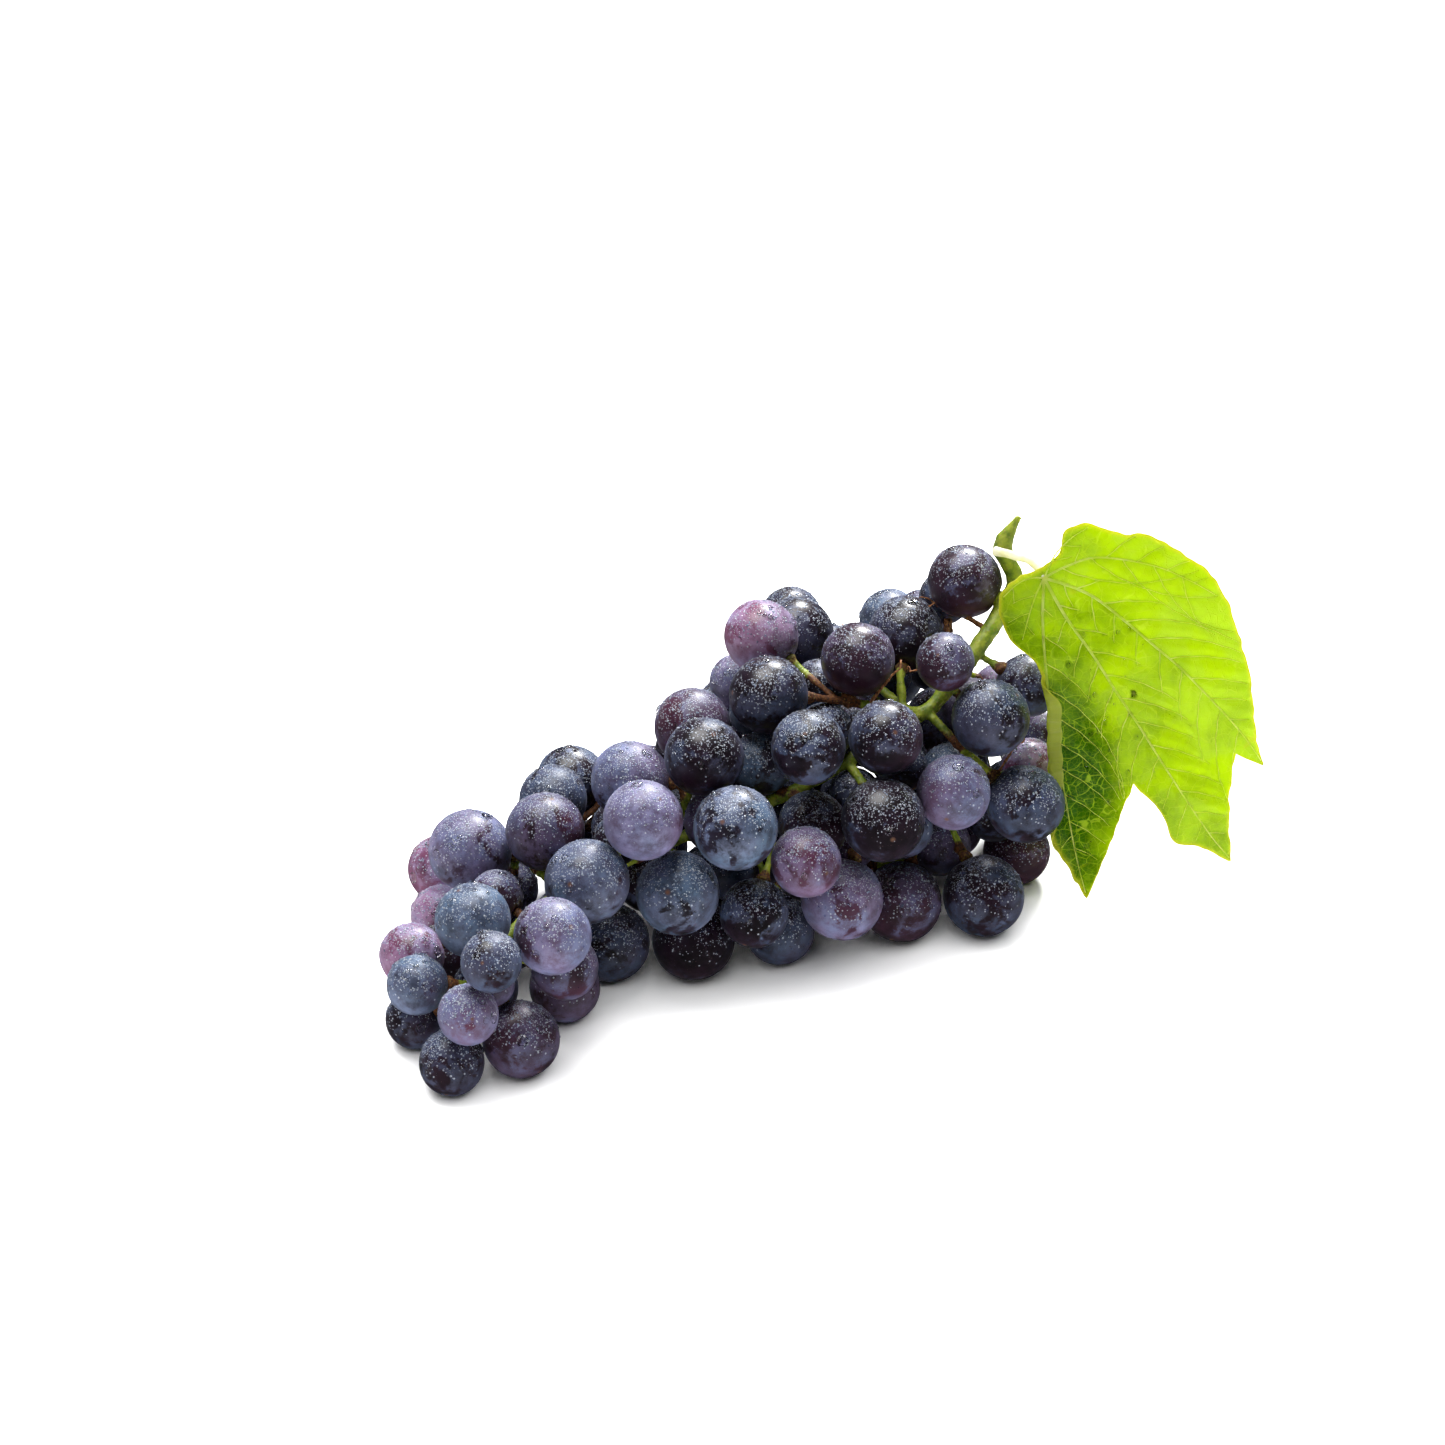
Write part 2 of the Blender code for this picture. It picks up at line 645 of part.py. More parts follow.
def make_leaf(layout, offset, material, guide):
    """The leaf: its blade, thickened from one bent sheet, joined to its stalk."""
    heart, rings = leaf_rings(layout.leaf_stalk[-1])
    sheet = bmesh.new()
    centre = sheet.verts.new(Vector(heart - offset) * MM)
    loops = [[sheet.verts.new(Vector(point - offset) * MM) for point in ring]
             for ring in rings]
    count = len(loops[0])
    for k in range(count):
        following = (k + 1) % count
        sheet.faces.new((centre, loops[0][following], loops[0][k]))
        for inner, outer in zip(loops, loops[1:]):
            sheet.faces.new((inner[k], inner[following], outer[following], outer[k]))
    bmesh.ops.recalc_face_normals(sheet, faces=sheet.faces[:])
    leaf = object_from("leaf", sheet, material)
    solid = leaf.modifiers.new("thickness", "SOLIDIFY")
    solid.thickness = LEAF_THICKNESS * MM
    solid.offset = 0.0

    rib = leaf_surface(np.array(MIDRIB), layout.leaf_stalk[-1])
    line = np.vstack([layout.leaf_stalk, rib]) - offset
    diameters = np.full(len(line), LEAF_STALK_DIAMETER)
    diameters[-1] *= 0.6
    unite(leaf, [tube_object("leaf_stalk", line, diameters, 8, guide)])
    return leaf


def box_of(layout):
    """The lowest and highest corners of the whole bunch, millimetres."""
    count = len(layout.berries)
    middles, radii = layout.middles[:count], layout.radii[:count, None]
    _, rings = leaf_rings(layout.leaf_stalk[-1])
    points = np.vstack([middles - radii, middles + radii, rings[-1], layout.peduncle])
    return points.min(axis=0), points.max(axis=0)


def main():
    """Lay the bunch out and make every piece."""
    clear_scene()
    layout = Layout()
    low, high = box_of(layout)
    offset = np.array([(low[0] + high[0]) / 2, (low[1] + high[1]) / 2, 0.0])

    skins = {skin: principled(f"skin_{skin.name.lower()}", skin.value, 0.35)
             for skin in Skin}
    guide = principled("guide", (0.5, 0.5, 0.5), 0.5)
    make_stem(layout, offset, principled("stem_green", (0.30, 0.34, 0.10), 0.55), guide)
    make_leaf(layout, offset, principled("leaf_green", (0.22, 0.45, 0.03), 0.45), guide)
    numbers = {}
    for index, (name, berry) in enumerate(zip(layout.names, layout.berries)):
        numbers[name] = numbers.get(name, 0) + 1
        make_berry(f"berry_{name}_{numbers[name]}", layout.middles[index] - offset,
                   layout.radii[index], skins[berry.skin])


main()
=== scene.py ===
"""Looks for a bunch of dark table grapes that lies on its side, with its peduncle and leaf.

Every berry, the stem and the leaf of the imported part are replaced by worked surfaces: waxy
berries with bloom, rubbed patches and dew, a warty green stem, and a veined leaf that light
comes through. Sizes in the classes are millimetres. Meshes are in metres, in the part's frame.
"""

import logging
import math
from collections.abc import Iterator, Sequence
from dataclasses import dataclass, field
from enum import Enum

import bpy
import numpy as np
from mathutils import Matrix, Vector


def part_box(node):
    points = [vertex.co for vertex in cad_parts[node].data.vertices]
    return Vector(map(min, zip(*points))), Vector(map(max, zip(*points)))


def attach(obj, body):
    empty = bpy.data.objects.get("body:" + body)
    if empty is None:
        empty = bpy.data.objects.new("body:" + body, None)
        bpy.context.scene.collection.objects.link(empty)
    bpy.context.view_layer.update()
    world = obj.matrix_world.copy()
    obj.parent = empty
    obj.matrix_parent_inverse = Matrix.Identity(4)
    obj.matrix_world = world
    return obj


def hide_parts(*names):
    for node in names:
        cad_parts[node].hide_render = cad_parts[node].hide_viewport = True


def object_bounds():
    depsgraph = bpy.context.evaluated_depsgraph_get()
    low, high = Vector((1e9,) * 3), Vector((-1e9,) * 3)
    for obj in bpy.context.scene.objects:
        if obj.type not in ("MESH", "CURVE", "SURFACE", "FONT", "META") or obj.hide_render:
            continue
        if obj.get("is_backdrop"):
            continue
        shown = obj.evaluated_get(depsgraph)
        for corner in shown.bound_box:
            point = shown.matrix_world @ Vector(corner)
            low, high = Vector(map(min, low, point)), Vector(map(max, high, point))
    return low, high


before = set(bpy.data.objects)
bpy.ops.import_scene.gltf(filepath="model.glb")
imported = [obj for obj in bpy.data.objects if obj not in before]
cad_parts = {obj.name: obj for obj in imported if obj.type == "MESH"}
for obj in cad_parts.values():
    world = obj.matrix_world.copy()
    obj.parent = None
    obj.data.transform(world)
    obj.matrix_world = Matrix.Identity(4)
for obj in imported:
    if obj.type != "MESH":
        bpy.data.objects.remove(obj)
CAD_BOX = [list(corner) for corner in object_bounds()]

MM = 0.001
BODY = "root"
log = logging.getLogger("grapes")


# --- Arithmetic on whole arrays --------------------------------------------------------

def unit(vectors: np.ndarray) -> np.ndarray:
    """Vectors along the last axis, made one long."""
    return vectors / np.maximum(np.linalg.norm(vectors, axis=-1, keepdims=True), 1e-9)


def smooth_step(low: float, high: float, values: np.ndarray) -> np.ndarray:
    """A soft ramp: 3t^2 - 2t^3, with t = (value - low) / (high - low) kept in 0..1."""
    share = np.clip((values - low) / (high - low), 0.0, 1.0)
    return share * share * (3.0 - 2.0 * share)


def lattice_noise(points: np.ndarray, cell: float, seed: int) -> np.ndarray:
    """Smooth noise from 0 to 1 on a cubic lattice.

    value = sum over a cell's 8 corners of hash(corner) * product of t or 1 - t, with t the
    place in the cell along each axis, eased by 3t^2 - 2t^3.

    Args:
        points: Places, one a row.
        cell: Width of a lattice cell, in the units of the points.
        seed: Picks one noise field out of many.

    Returns:
        One value for each place.
    """
    scaled = points / cell + 512.0
    base = np.floor(scaled).astype(np.uint64)
    share = scaled - base
    share = share * share * (3.0 - 2.0 * share)
    total = np.zeros(len(points))
    keys = np.array([73856093, 19349663, 83492791], np.uint64)
    for corner in np.ndindex(2, 2, 2):
        picked = np.array(corner)
        weight = np.prod(np.where(picked == 1, share, 1.0 - share), axis=1)
        code = ((base + picked.astype(np.uint64)) * keys).sum(axis=1)
        code = (code + np.uint64(seed * 7919 + 17)) * np.uint64(2654435761)
        code = (code ^ (code >> np.uint64(15))) * np.uint64(2246822519)
        code = code ^ (code >> np.uint64(13))
        total += weight * ((code & np.uint64(0xFFFF)).astype(float) / 65535.0)
    return total


def across(directions: np.ndarray) -> tuple[np.ndarray, np.ndarray]:
    """Two unit vectors square to each direction and to one another."""
    upright = np.abs(directions[..., 2:3]) > 0.9
    helper = np.where(upright, np.array([1.0, 0.0, 0.0]), np.array([0.0, 0.0, 1.0]))
    first = unit(np.cross(directions, helper))
    return first, np.cross(directions, first)


def curve_through(points: Sequence[Sequence[float]], step: float) -> np.ndarray:
    """Points every step along a Catmull-Rom curve through the given ones.

    p(t) = 0.5 (2b + (c-a)t + (2a-5b+4c-d)t^2 + (3b-a-3c+d)t^3) between b and c.
    """
    row = np.asarray(points, float)
    padded = np.vstack([2 * row[0] - row[1], row, 2 * row[-1] - row[-2]])
    a, b, c, d = padded[:-3], padded[1:-2], padded[2:-1], padded[3:]
    t = np.linspace(0.0, 1.0, 24, endpoint=False)[None, :, None]
    a, b, c, d = (part[:, None, :] for part in (a, b, c, d))
    fine = 0.5 * (2 * b + (c - a) * t + (2 * a - 5 * b + 4 * c - d) * t ** 2
                  + (3 * b - a - 3 * c + d) * t ** 3)
    fine = np.vstack([fine.reshape(-1, row.shape[1]), row[-1:]])
    return evenly(fine, step)


def evenly(line: np.ndarray, step: float) -> np.ndarray:
    """The same line with its points spread evenly, about a step apart."""
    along = np.concatenate([[0.0], np.cumsum(np.linalg.norm(np.diff(line, axis=0), axis=1))])
    count = max(3, int(round(along[-1] / step)) + 1)
    wanted = np.linspace(0.0, along[-1], count)
    return np.column_stack([np.interp(wanted, along, line[:, k])
                            for k in range(line.shape[1])])


def nearest(points: np.ndarray, targets: np.ndarray) -> tuple[np.ndarray, np.ndarray]:
    """For each point, how far its nearest target is and which one that is.

    The square of a distance is |p|^2 + |q|^2 - 2 p.q.
    """
    middle = targets.mean(axis=0)
    points, targets = points - middle, targets - middle
    own = (targets ** 2).sum(axis=1)
    which = np.concatenate([(own - 2.0 * part @ targets.T).argmin(axis=1)
                            for part in np.array_split(points, len(points) // 4000 + 1)])
    return np.linalg.norm(points - targets[which], axis=1), which


# --- Surfaces as grids -----------------------------------------------------------------

@dataclass
class Surface:
    """Corners in millimetres, faces that index them, and values kept for each corner."""

    corners: np.ndarray
    faces: list[list[int]]
    marks: dict[str, np.ndarray] = field(default_factory=dict)

    @staticmethod
    def joined(parts: Sequence["Surface"]) -> "Surface":
        """Several surfaces as one, in the order given."""
        faces: list[list[int]] = []
        start = 0
        for part in parts:
            faces.extend((np.asarray(group, int) + start).tolist()
                         for group in part.faces)
            start += len(part.corners)
        corners = np.vstack([part.corners for part in parts])
        marks = {key: np.concatenate([part.marks[key] for part in parts])
                 for key in parts[0].marks}
        return Surface(corners, faces, marks)


def ring_faces(rings: int, sides: int, start: int = 0) -> list[list[int]]:
    """Quads of a grid of rings that close on themselves, rows first, facing outwards."""
    row, side = np.meshgrid(np.arange(rings - 1), np.arange(sides), indexing="ij")
    here = row * sides + side + start
    beside = row * sides + (side + 1) % sides + start
    quads = np.stack([here, beside, beside + sides, here + sides], axis=-1)
    return quads.reshape(-1, 4).tolist()


def fan_faces(middle: int, ring_start: int, sides: int, flip: bool) -> list[list[int]]:
    """Triangles from one corner to a ring of them."""
    side = np.arange(sides)
    first = ring_start + side
    second = ring_start + (side + 1) % sides
    if flip:
        first, second = second, first
    return np.column_stack([np.full(sides, middle), first, second]).tolist()


def tube(path: np.ndarray, radii: np.ndarray, sides: int, squash: float = 1.0,
         flat_to: np.ndarray | None = None) -> Surface:
    """A closed tube carried along a path.

    corner(i, k) = path(i) + radius(i) (cos(a) side(i) + squash sin(a) up(i)), a = 2 pi k/n,
    with both ends closed on a point.

    Args:
        path: The middle line, one point a row.
        radii: Its radius at each point.
        sides: Corners round each ring.
        squash: Height over width of its section.
        flat_to: The up direction at each point, where the section is not round.

    Returns:
        The tube's surface.
    """
    forward = unit(np.gradient(path, axis=0))
    if flat_to is None:
        first, _ = across(forward[:1])
        up_rows = [first[0]]
        for step in forward[1:]:
            up_rows.append(unit(up_rows[-1] - step * (up_rows[-1] @ step)))
        up = np.array(up_rows)
    else:
        up = unit(flat_to - forward * (flat_to * forward).sum(axis=1, keepdims=True))
    side = np.cross(forward, up)
    angle = np.linspace(0.0, 2 * np.pi, sides, endpoint=False)
    ring = (np.cos(angle)[None, :, None] * side[:, None, :]
            + squash * np.sin(angle)[None, :, None] * up[:, None, :])
    rings = path[:, None, :] + radii[:, None, None] * ring
    count = len(path)
    corners = np.vstack([rings.reshape(-1, 3), path[0] - forward[0] * radii[0] * 0.4,
                         path[-1] + forward[-1] * radii[-1] * 0.4])
    faces = ring_faces(count, sides)
    faces += fan_faces(count * sides, 0, sides, flip=True)
    faces += fan_faces(count * sides + 1, (count - 1) * sides, sides, flip=False)
    return Surface(corners, faces)


def make_piece(name: str, surface: Surface, materials: Sequence[bpy.types.Material],
               replaces: str | None = None) -> bpy.types.Object:
    """Puts a surface into a mesh object that rides on the bunch.

    Args:
        name: The piece's name.
        surface: Its corners in millimetres, its faces and its marks.
        materials: Its materials, in slot order.
        replaces: The CAD node that it stands for, if any.

    Returns:
        The new object, at the origin.
    """
    mesh = bpy.data.meshes.new(name)
    mesh.from_pydata((surface.corners * MM).tolist(), [], surface.faces)
    mesh.update()
    for key, values in surface.marks.items():
        store_mark(mesh, key, values)
    mesh.shade_smooth()
    for material in materials:
        mesh.materials.append(material)
    piece = bpy.data.objects.new(name, mesh)
    bpy.context.scene.collection.objects.link(piece)
    settle_piece(piece, replaces)
    return piece


def settle_piece(piece: bpy.types.Object, replaces: str | None = None) -> None:
    """Fixes a piece to the bunch and hides the node that it stands for."""
    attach(piece, BODY)
    if replaces:
        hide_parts(replaces)


def store_mark(mesh: bpy.types.Mesh, key: str, values: np.ndarray) -> None:
    """Keeps a value, or a row of four, for every corner of a mesh."""
    kind = "FLOAT" if values.ndim == 1 else "FLOAT_COLOR"
    label = "value" if values.ndim == 1 else "color"
    attribute = mesh.attributes.new(key, kind, "POINT")
    attribute.data.foreach_set(label, values.astype(np.float32).ravel())


def node_corners(name: str) -> np.ndarray:
    """Corners of a CAD node, in millimetres."""
    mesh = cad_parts[name].data
    corners = np.empty(len(mesh.vertices) * 3, np.float32)
    mesh.vertices.foreach_get("co", corners)
    return corners.reshape(-1, 3).astype(float) / MM


# --- Shader nodes ----------------------------------------------------------------------

def srgb(red: int, green: int, blue: int) -> tuple[float, float, float, float]:
    """A colour as a painter mixes it, 0 to 255, as the shader's linear one."""
    share = np.array([red, green, blue]) / 255.0
    linear = np.where(share <= 0.04045, share / 12.92, ((share + 0.055) / 1.055) ** 2.4)
    return (float(linear[0]), float(linear[1]), float(linear[2]), 1.0)


Socket = bpy.types.NodeSocket
Source = Socket | float | tuple[float, ...]


class Shader:
    """A material under construction: each method adds a node and returns its output."""

    def __init__(self, name: str) -> None:
        """Starts an empty material with one Principled shader."""
        self.material = bpy.data.materials.new(name)
        self.material.use_nodes = True
        self.tree = self.material.node_tree
        self.tree.nodes.clear()
        self.output = self.tree.nodes.new("ShaderNodeOutputMaterial")
        self.skin = self.tree.nodes.new("ShaderNodeBsdfPrincipled")
        self.tree.links.new(self.skin.outputs[0], self.output.inputs["Surface"])
        self.place = self.tree.nodes.new("ShaderNodeTexCoord").outputs["Object"]

    def feed(self, socket: Socket, source: Source) -> None:
        """Links a socket to an output, or sets its own value."""
        if isinstance(source, bpy.types.NodeSocket):
            self.tree.links.new(source, socket)
        else:
            socket.default_value = source

    def set(self, **values: Source) -> None:
        """Feeds the Principled shader's sockets, named with underscores for spaces."""
        for key, source in values.items():
            self.feed(self.skin.inputs[key.replace("_", " ")], source)

    def noise(self, scale: float, detail: float = 2.0, rough: float = 0.5,
              place: Socket | None = None, distort: float = 0.0) -> Socket:
        """Noise from 0 to 1, with so many blotches a metre."""
        node = self.tree.nodes.new("ShaderNodeTexNoise")
        self.feed(node.inputs["Vector"], place or self.place)
        node.inputs["Scale"].default_value = scale
        node.inputs["Detail"].default_value = detail
        node.inputs["Roughness"].default_value = rough
        node.inputs["Distortion"].default_value = distort
        return node.outputs["Fac"]

    def cells(self, scale: float, feature: str = "F1", place: Socket | None = None,
              random: float = 1.0) -> bpy.types.Node:
        """Cells with so many a metre; the node gives distance and a colour for each."""
        node = self.tree.nodes.new("ShaderNodeTexVoronoi")
        node.feature = feature
        self.feed(node.inputs["Vector"], place or self.place)
        node.inputs["Scale"].default_value = scale
        node.inputs["Randomness"].default_value = random
        return node

    def mark(self, key: str) -> bpy.types.Node:
        """The value kept for each corner under that name."""
        node = self.tree.nodes.new("ShaderNodeAttribute")
        node.attribute_name = key
        return node

    def maths(self, operation: str, first: Source, second: Source = 0.0,
              third: Source | None = None, clamp: bool = False) -> Socket:
        """One sum on two numbers, or on three for MULTIPLY_ADD."""
        node = self.tree.nodes.new("ShaderNodeMath")
        node.operation = operation
        node.use_clamp = clamp
        self.feed(node.inputs[0], first)
        self.feed(node.inputs[1], second)
        if third is not None:
            self.feed(node.inputs[2], third)
        return node.outputs[0]

    def ramp(self, value: Socket, low: Source, high: Source, start: float = 0.0,
             end: float = 1.0) -> Socket:
        """Eases from start to end as the value goes from low to high."""
        node = self.tree.nodes.new("ShaderNodeMapRange")
        node.interpolation_type = "SMOOTHSTEP"
        self.feed(node.inputs["Value"], value)
        self.feed(node.inputs["From Min"], low)
        self.feed(node.inputs["From Max"], high)
        node.inputs["To Min"].default_value = start
        node.inputs["To Max"].default_value = end
        return node.outputs["Result"]

    def blend(self, share: Source, first: Source, second: Source,
              kind: str = "MIX") -> Socket:
        """Two colours, mixed by a share."""
        node = self.tree.nodes.new("ShaderNodeMix")
        node.data_type = "RGBA"
        node.blend_type = kind
        self.feed(node.inputs["Factor"], share)
        self.feed(node.inputs[6], first)
        self.feed(node.inputs[7], second)
        return node.outputs[2]

    def bump(self, height: Socket, depth: float, under: Socket | None = None) -> Socket:
        """A normal for relief of that depth, in metres."""
        node = self.tree.nodes.new("ShaderNodeBump")
        node.inputs["Distance"].default_value = depth
        self.feed(node.inputs["Height"], height)
        if under is not None:
            self.feed(node.inputs["Normal"], under)
        return node.outputs["Normal"]

    def let_through(self, colour: Socket, share: float) -> None:
        """Lets a share of the light through, tinted."""
        behind = self.tree.nodes.new("ShaderNodeBsdfTranslucent")
        self.feed(behind.inputs["Color"], colour)
        mix = self.tree.nodes.new("ShaderNodeMixShader")
        mix.inputs[0].default_value = share
        self.tree.links.new(self.skin.outputs[0], mix.inputs[1])
        self.tree.links.new(behind.outputs[0], mix.inputs[2])
        self.tree.links.new(mix.outputs[0], self.output.inputs["Surface"])

    def facing_up(self) -> Socket:
        """How far the surface faces upwards, -1 to 1."""
        geometry = self.tree.nodes.new("ShaderNodeNewGeometry")
        split = self.tree.nodes.new("ShaderNodeSeparateXYZ")
        self.feed(split.inputs[0], geometry.outputs["Normal"])
        return split.outputs["Z"]

    def split(self, colour: Socket) -> tuple[Socket, Socket, Socket]:
        """Red, green and blue of a colour."""
        node = self.tree.nodes.new("ShaderNodeSeparateColor")
        self.feed(node.inputs[0], colour)
        return node.outputs[0], node.outputs[1], node.outputs[2]


# --- Finishes --------------------------------------------------------------------------

class Skin(Enum):
    """The record's slots for the berries' skins."""

    NAVY = "skin_navy"
    STEEL = "skin_steel"
    PLUM = "skin_plum"
    MAUVE = "skin_mauve"
    ROSE = "skin_rose"


@dataclass(frozen=True)
class SkinFinish:
    """A waxy skin: bloom over a dark skin, rubbed off in patches, with fine dew on top."""

    deep: tuple[int, int, int]       # the skin where its bloom is rubbed off
    blush: tuple[int, int, int]      # its redder parts
    bloom: tuple[int, int, int]      # the wax bloom
    cover: float = 0.62              # how much of the skin keeps its bloom
    thickness: float = 0.8           # how much the bloom hides
    glow: float = 0.08               # light that spreads inside the flesh
    drift: tuple[int, int, int] = (104, 124, 160)   # the bloom's other tone

    FINE_DEW = 2400.0
    PATCHES = 115.0                  # rubbed patches to the metre
    FRAYS = 640.0                    # the raggedness of their edges
    CLOUDS = 260.0
    SPECKS = 1500.0
    DEW = 1150.0

    def material(self, skin: Skin) -> bpy.types.Material:
        """Builds the skin's material.

        Args:
            skin: The slot that it is for.

        Returns:
            The material. It reads the mark "skin": red is how much bloom the berry keeps,
            green its blush, blue the scar at its blossom end, alpha its own shade.
        """
        shader = Shader(skin.value)
        marks = shader.mark("skin")
        keeps, blush, scar = shader.split(marks.outputs["Color"])
        shade = marks.outputs["Alpha"]

        patch = shader.noise(self.PATCHES, 4.0, 0.62, distort=0.5)
        fray = shader.noise(self.FRAYS, 4.0, 0.7)
        edge = shader.maths("MULTIPLY", shader.maths("SUBTRACT", fray, 0.5), 0.34)
        worn = shader.maths("ADD", patch, edge)
        limit = shader.maths("MULTIPLY_ADD", keeps, 0.5, 0.27)
        kept = shader.ramp(shader.maths("SUBTRACT", limit, worn), -0.03, 0.07)
        clouds = shader.ramp(shader.noise(self.CLOUDS, 5.0, 0.75), 0.3, 0.7, 0.25, 1.0)
        thin = shader.ramp(shader.noise(60.0, 2.0), 0.35, 0.65, 0.8, 1.0)
        bloom = shader.maths("MULTIPLY", shader.maths("MULTIPLY", kept, clouds), thin)

        dark = shader.blend(shader.ramp(shader.noise(190.0, 3.0), 0.35, 0.7),
                            srgb(*self.deep), srgb(*(int(c * 0.62) for c in self.deep)))
        redder = shader.maths("MULTIPLY", blush,
                              shader.ramp(shader.noise(150.0, 2.0), 0.25, 0.6, 0.45, 1.0))
        base = shader.blend(redder, dark, srgb(*self.blush))
        waxy = shader.blend(shade, srgb(*self.bloom),
                            srgb(*(int(0.55 * b + 0.45 * r)
                                   for b, r in zip(self.bloom, self.blush))))
        waxy = shader.blend(shader.maths("MULTIPLY", blush, 0.4), waxy, srgb(*self.blush))
        drift = shader.ramp(shader.noise(75.0, 2.0), 0.42, 0.6, 0.0, 0.7)
        waxy = shader.blend(drift, waxy, srgb(*self.drift))
        covered = shader.maths("MULTIPLY", bloom, self.thickness)
        colour = shader.blend(covered, base, waxy)

        speck = shader.cells(self.SPECKS)
        dots = shader.ramp(speck.outputs["Distance"], 0.06, 0.2, 1.0, 0.0)
        picked, _, _ = shader.split(speck.outputs["Color"])
        dots = shader.maths("MULTIPLY", dots, shader.ramp(picked, 0.6, 0.7))
        colour = shader.blend(shader.maths("MULTIPLY", dots, 0.35), colour,
                              srgb(150, 120, 120))
        colour = shader.blend(scar, colour, srgb(104, 70, 50))

        dew = shader.cells(self.DEW, random=0.9)
        chosen, size, _ = shader.split(dew.outputs["Color"])
        upward = shader.ramp(shader.facing_up(), -0.25, 0.55)
        wetter = shader.ramp(shader.noise(130.0, 1.0), 0.35, 0.6, 0.35, 1.0)
        there = shader.maths("LESS_THAN", chosen,
                             shader.maths("MULTIPLY", upward, wetter))
        radius = shader.maths("MULTIPLY_ADD", size, 0.2, 0.16)
        near = shader.maths("DIVIDE", dew.outputs["Distance"], radius)
        dome = shader.maths("SQRT", shader.maths(
            "MAXIMUM", shader.maths("SUBTRACT", 1.0, shader.maths("MULTIPLY", near, near)),
            0.0))
        drops = shader.maths("MULTIPLY", dome, there)
        # Painted highlight: the drops' colour is lifted to near-white for the glints of light
        # on them; their gloss and relief are real.
        colour = shader.blend(shader.maths("MULTIPLY", drops, 0.5), colour,
                              srgb(222, 230, 244))
        # Fine dew beads, more of them facing up, painted near-white: painted glints of the
        # light from above; their relief is real.
        fine = shader.cells(self.FINE_DEW, random=0.9)
        some, _, _ = shader.split(fine.outputs["Color"])
        beads_and_glints = shader.ramp(fine.outputs["Distance"], 0.22, 0.38, 1.0, 0.0)
        top = shader.ramp(shader.facing_up(), 0.1, 0.95, 0.0, 0.75)
        beads_and_glints = shader.maths("MULTIPLY", beads_and_glints, shader.maths(
            "LESS_THAN", some, shader.maths("MULTIPLY", top, wetter)))
        colour = shader.blend(shader.maths("MULTIPLY", beads_and_glints, 0.6), colour,
                              srgb(226, 234, 246))

        gloss = shader.ramp(bloom, 0.0, 0.8, 0.3, 0.5)
        rough = shader.maths("SUBTRACT", gloss, shader.maths("MULTIPLY", drops, 0.35),
                             clamp=True)
        rough = shader.maths("MAXIMUM", rough, 0.06)
        pores = shader.bump(shader.noise(2200.0, 2.0), 0.00001)
        crust = shader.bump(bloom, 0.00003, pores)
        normal = shader.bump(drops, 0.00016, crust)
        normal = shader.bump(beads_and_glints, 0.00008, normal)
        shader.set(Base_Color=colour, Roughness=rough, Normal=normal,
                   Subsurface_Weight=self.glow, Subsurface_Scale=0.004,
                   Subsurface_Radius=(1.0, 0.45, 0.45), IOR=1.42,
                   Coat_Weight=0.04, Coat_Roughness=0.3,
                   Sheen_Weight=0.06, Sheen_Roughness=0.4,
                   Sheen_Tint=srgb(190, 205, 240))
        return shader.material


SKINS: dict[Skin, SkinFinish] = {
    Skin.NAVY: SkinFinish((30, 18, 30), (62, 28, 46), (86, 98, 130), 0.55, 0.75, 0.02,
                          (74, 96, 128)),
    Skin.STEEL: SkinFinish((32, 26, 40), (88, 52, 78), (108, 124, 156), 0.62, 0.84, 0.03,
                           (92, 122, 152)),
    Skin.PLUM: SkinFinish((50, 30, 44), (76, 40, 58), (116, 110, 148), 0.62, 0.78, 0.03,
                          (98, 108, 146)),
    Skin.MAUVE: SkinFinish((58, 38, 58), (104, 54, 78), (144, 144, 186), 0.64, 0.78, 0.06,
                           (116, 134, 176)),
    Skin.ROSE: SkinFinish((98, 54, 80), (126, 76, 106), (186, 170, 206), 0.66, 0.8, 0.1,
                          (160, 156, 198)),
}


@dataclass(frozen=True)
class DewFinish:
    """Clear water."""

    ior: float = 1.33

    def material(self) -> bpy.types.Material:
        """Builds the water's material, with the faintest ripple on it."""
        shader = Shader("dew_water")
        ripple = shader.bump(shader.noise(900.0, 1.0), 0.000004)
        rough = shader.ramp(shader.noise(300.0, 1.0), 0.3, 0.7, 0.0, 0.03)
        shader.set(Base_Color=(1.0, 1.0, 1.0, 1.0), Roughness=rough, IOR=self.ior,
                   Transmission_Weight=1.0, Normal=ripple)
        return shader.material


@dataclass(frozen=True)
class MistFinish:
    """Fine dew painted near-white, most where it faces up: a painted highlight of its sparkle.
    """

    # The near-white tone is painted highlight.
    tone: tuple[int, int, int] = (226, 233, 244)
    clear: float = 0.45              # how clear the drops on top are; lower ones are clearer

    def material(self) -> bpy.types.Material:
        """Builds the mist's material. It reads the mark "upward"."""
        shader = Shader("dew_mist")
        uneven = shader.noise(500.0, 1.0)
        lit = shader.mark("upward").outputs["Fac"]
        # Drops that face up are made less clear and so whiter: painted highlight.
        clear = shader.ramp(lit, 0.1, 0.9, 1.0, self.clear)
        colour = shader.blend(shader.ramp(uneven, 0.3, 0.7), srgb(*self.tone),
                              srgb(168, 184, 214))
        rough = shader.ramp(uneven, 0.3, 0.7, 0.04, 0.16)
        shader.set(Base_Color=colour, Roughness=rough, IOR=1.38,
                   Transmission_Weight=clear)
        return shader.material


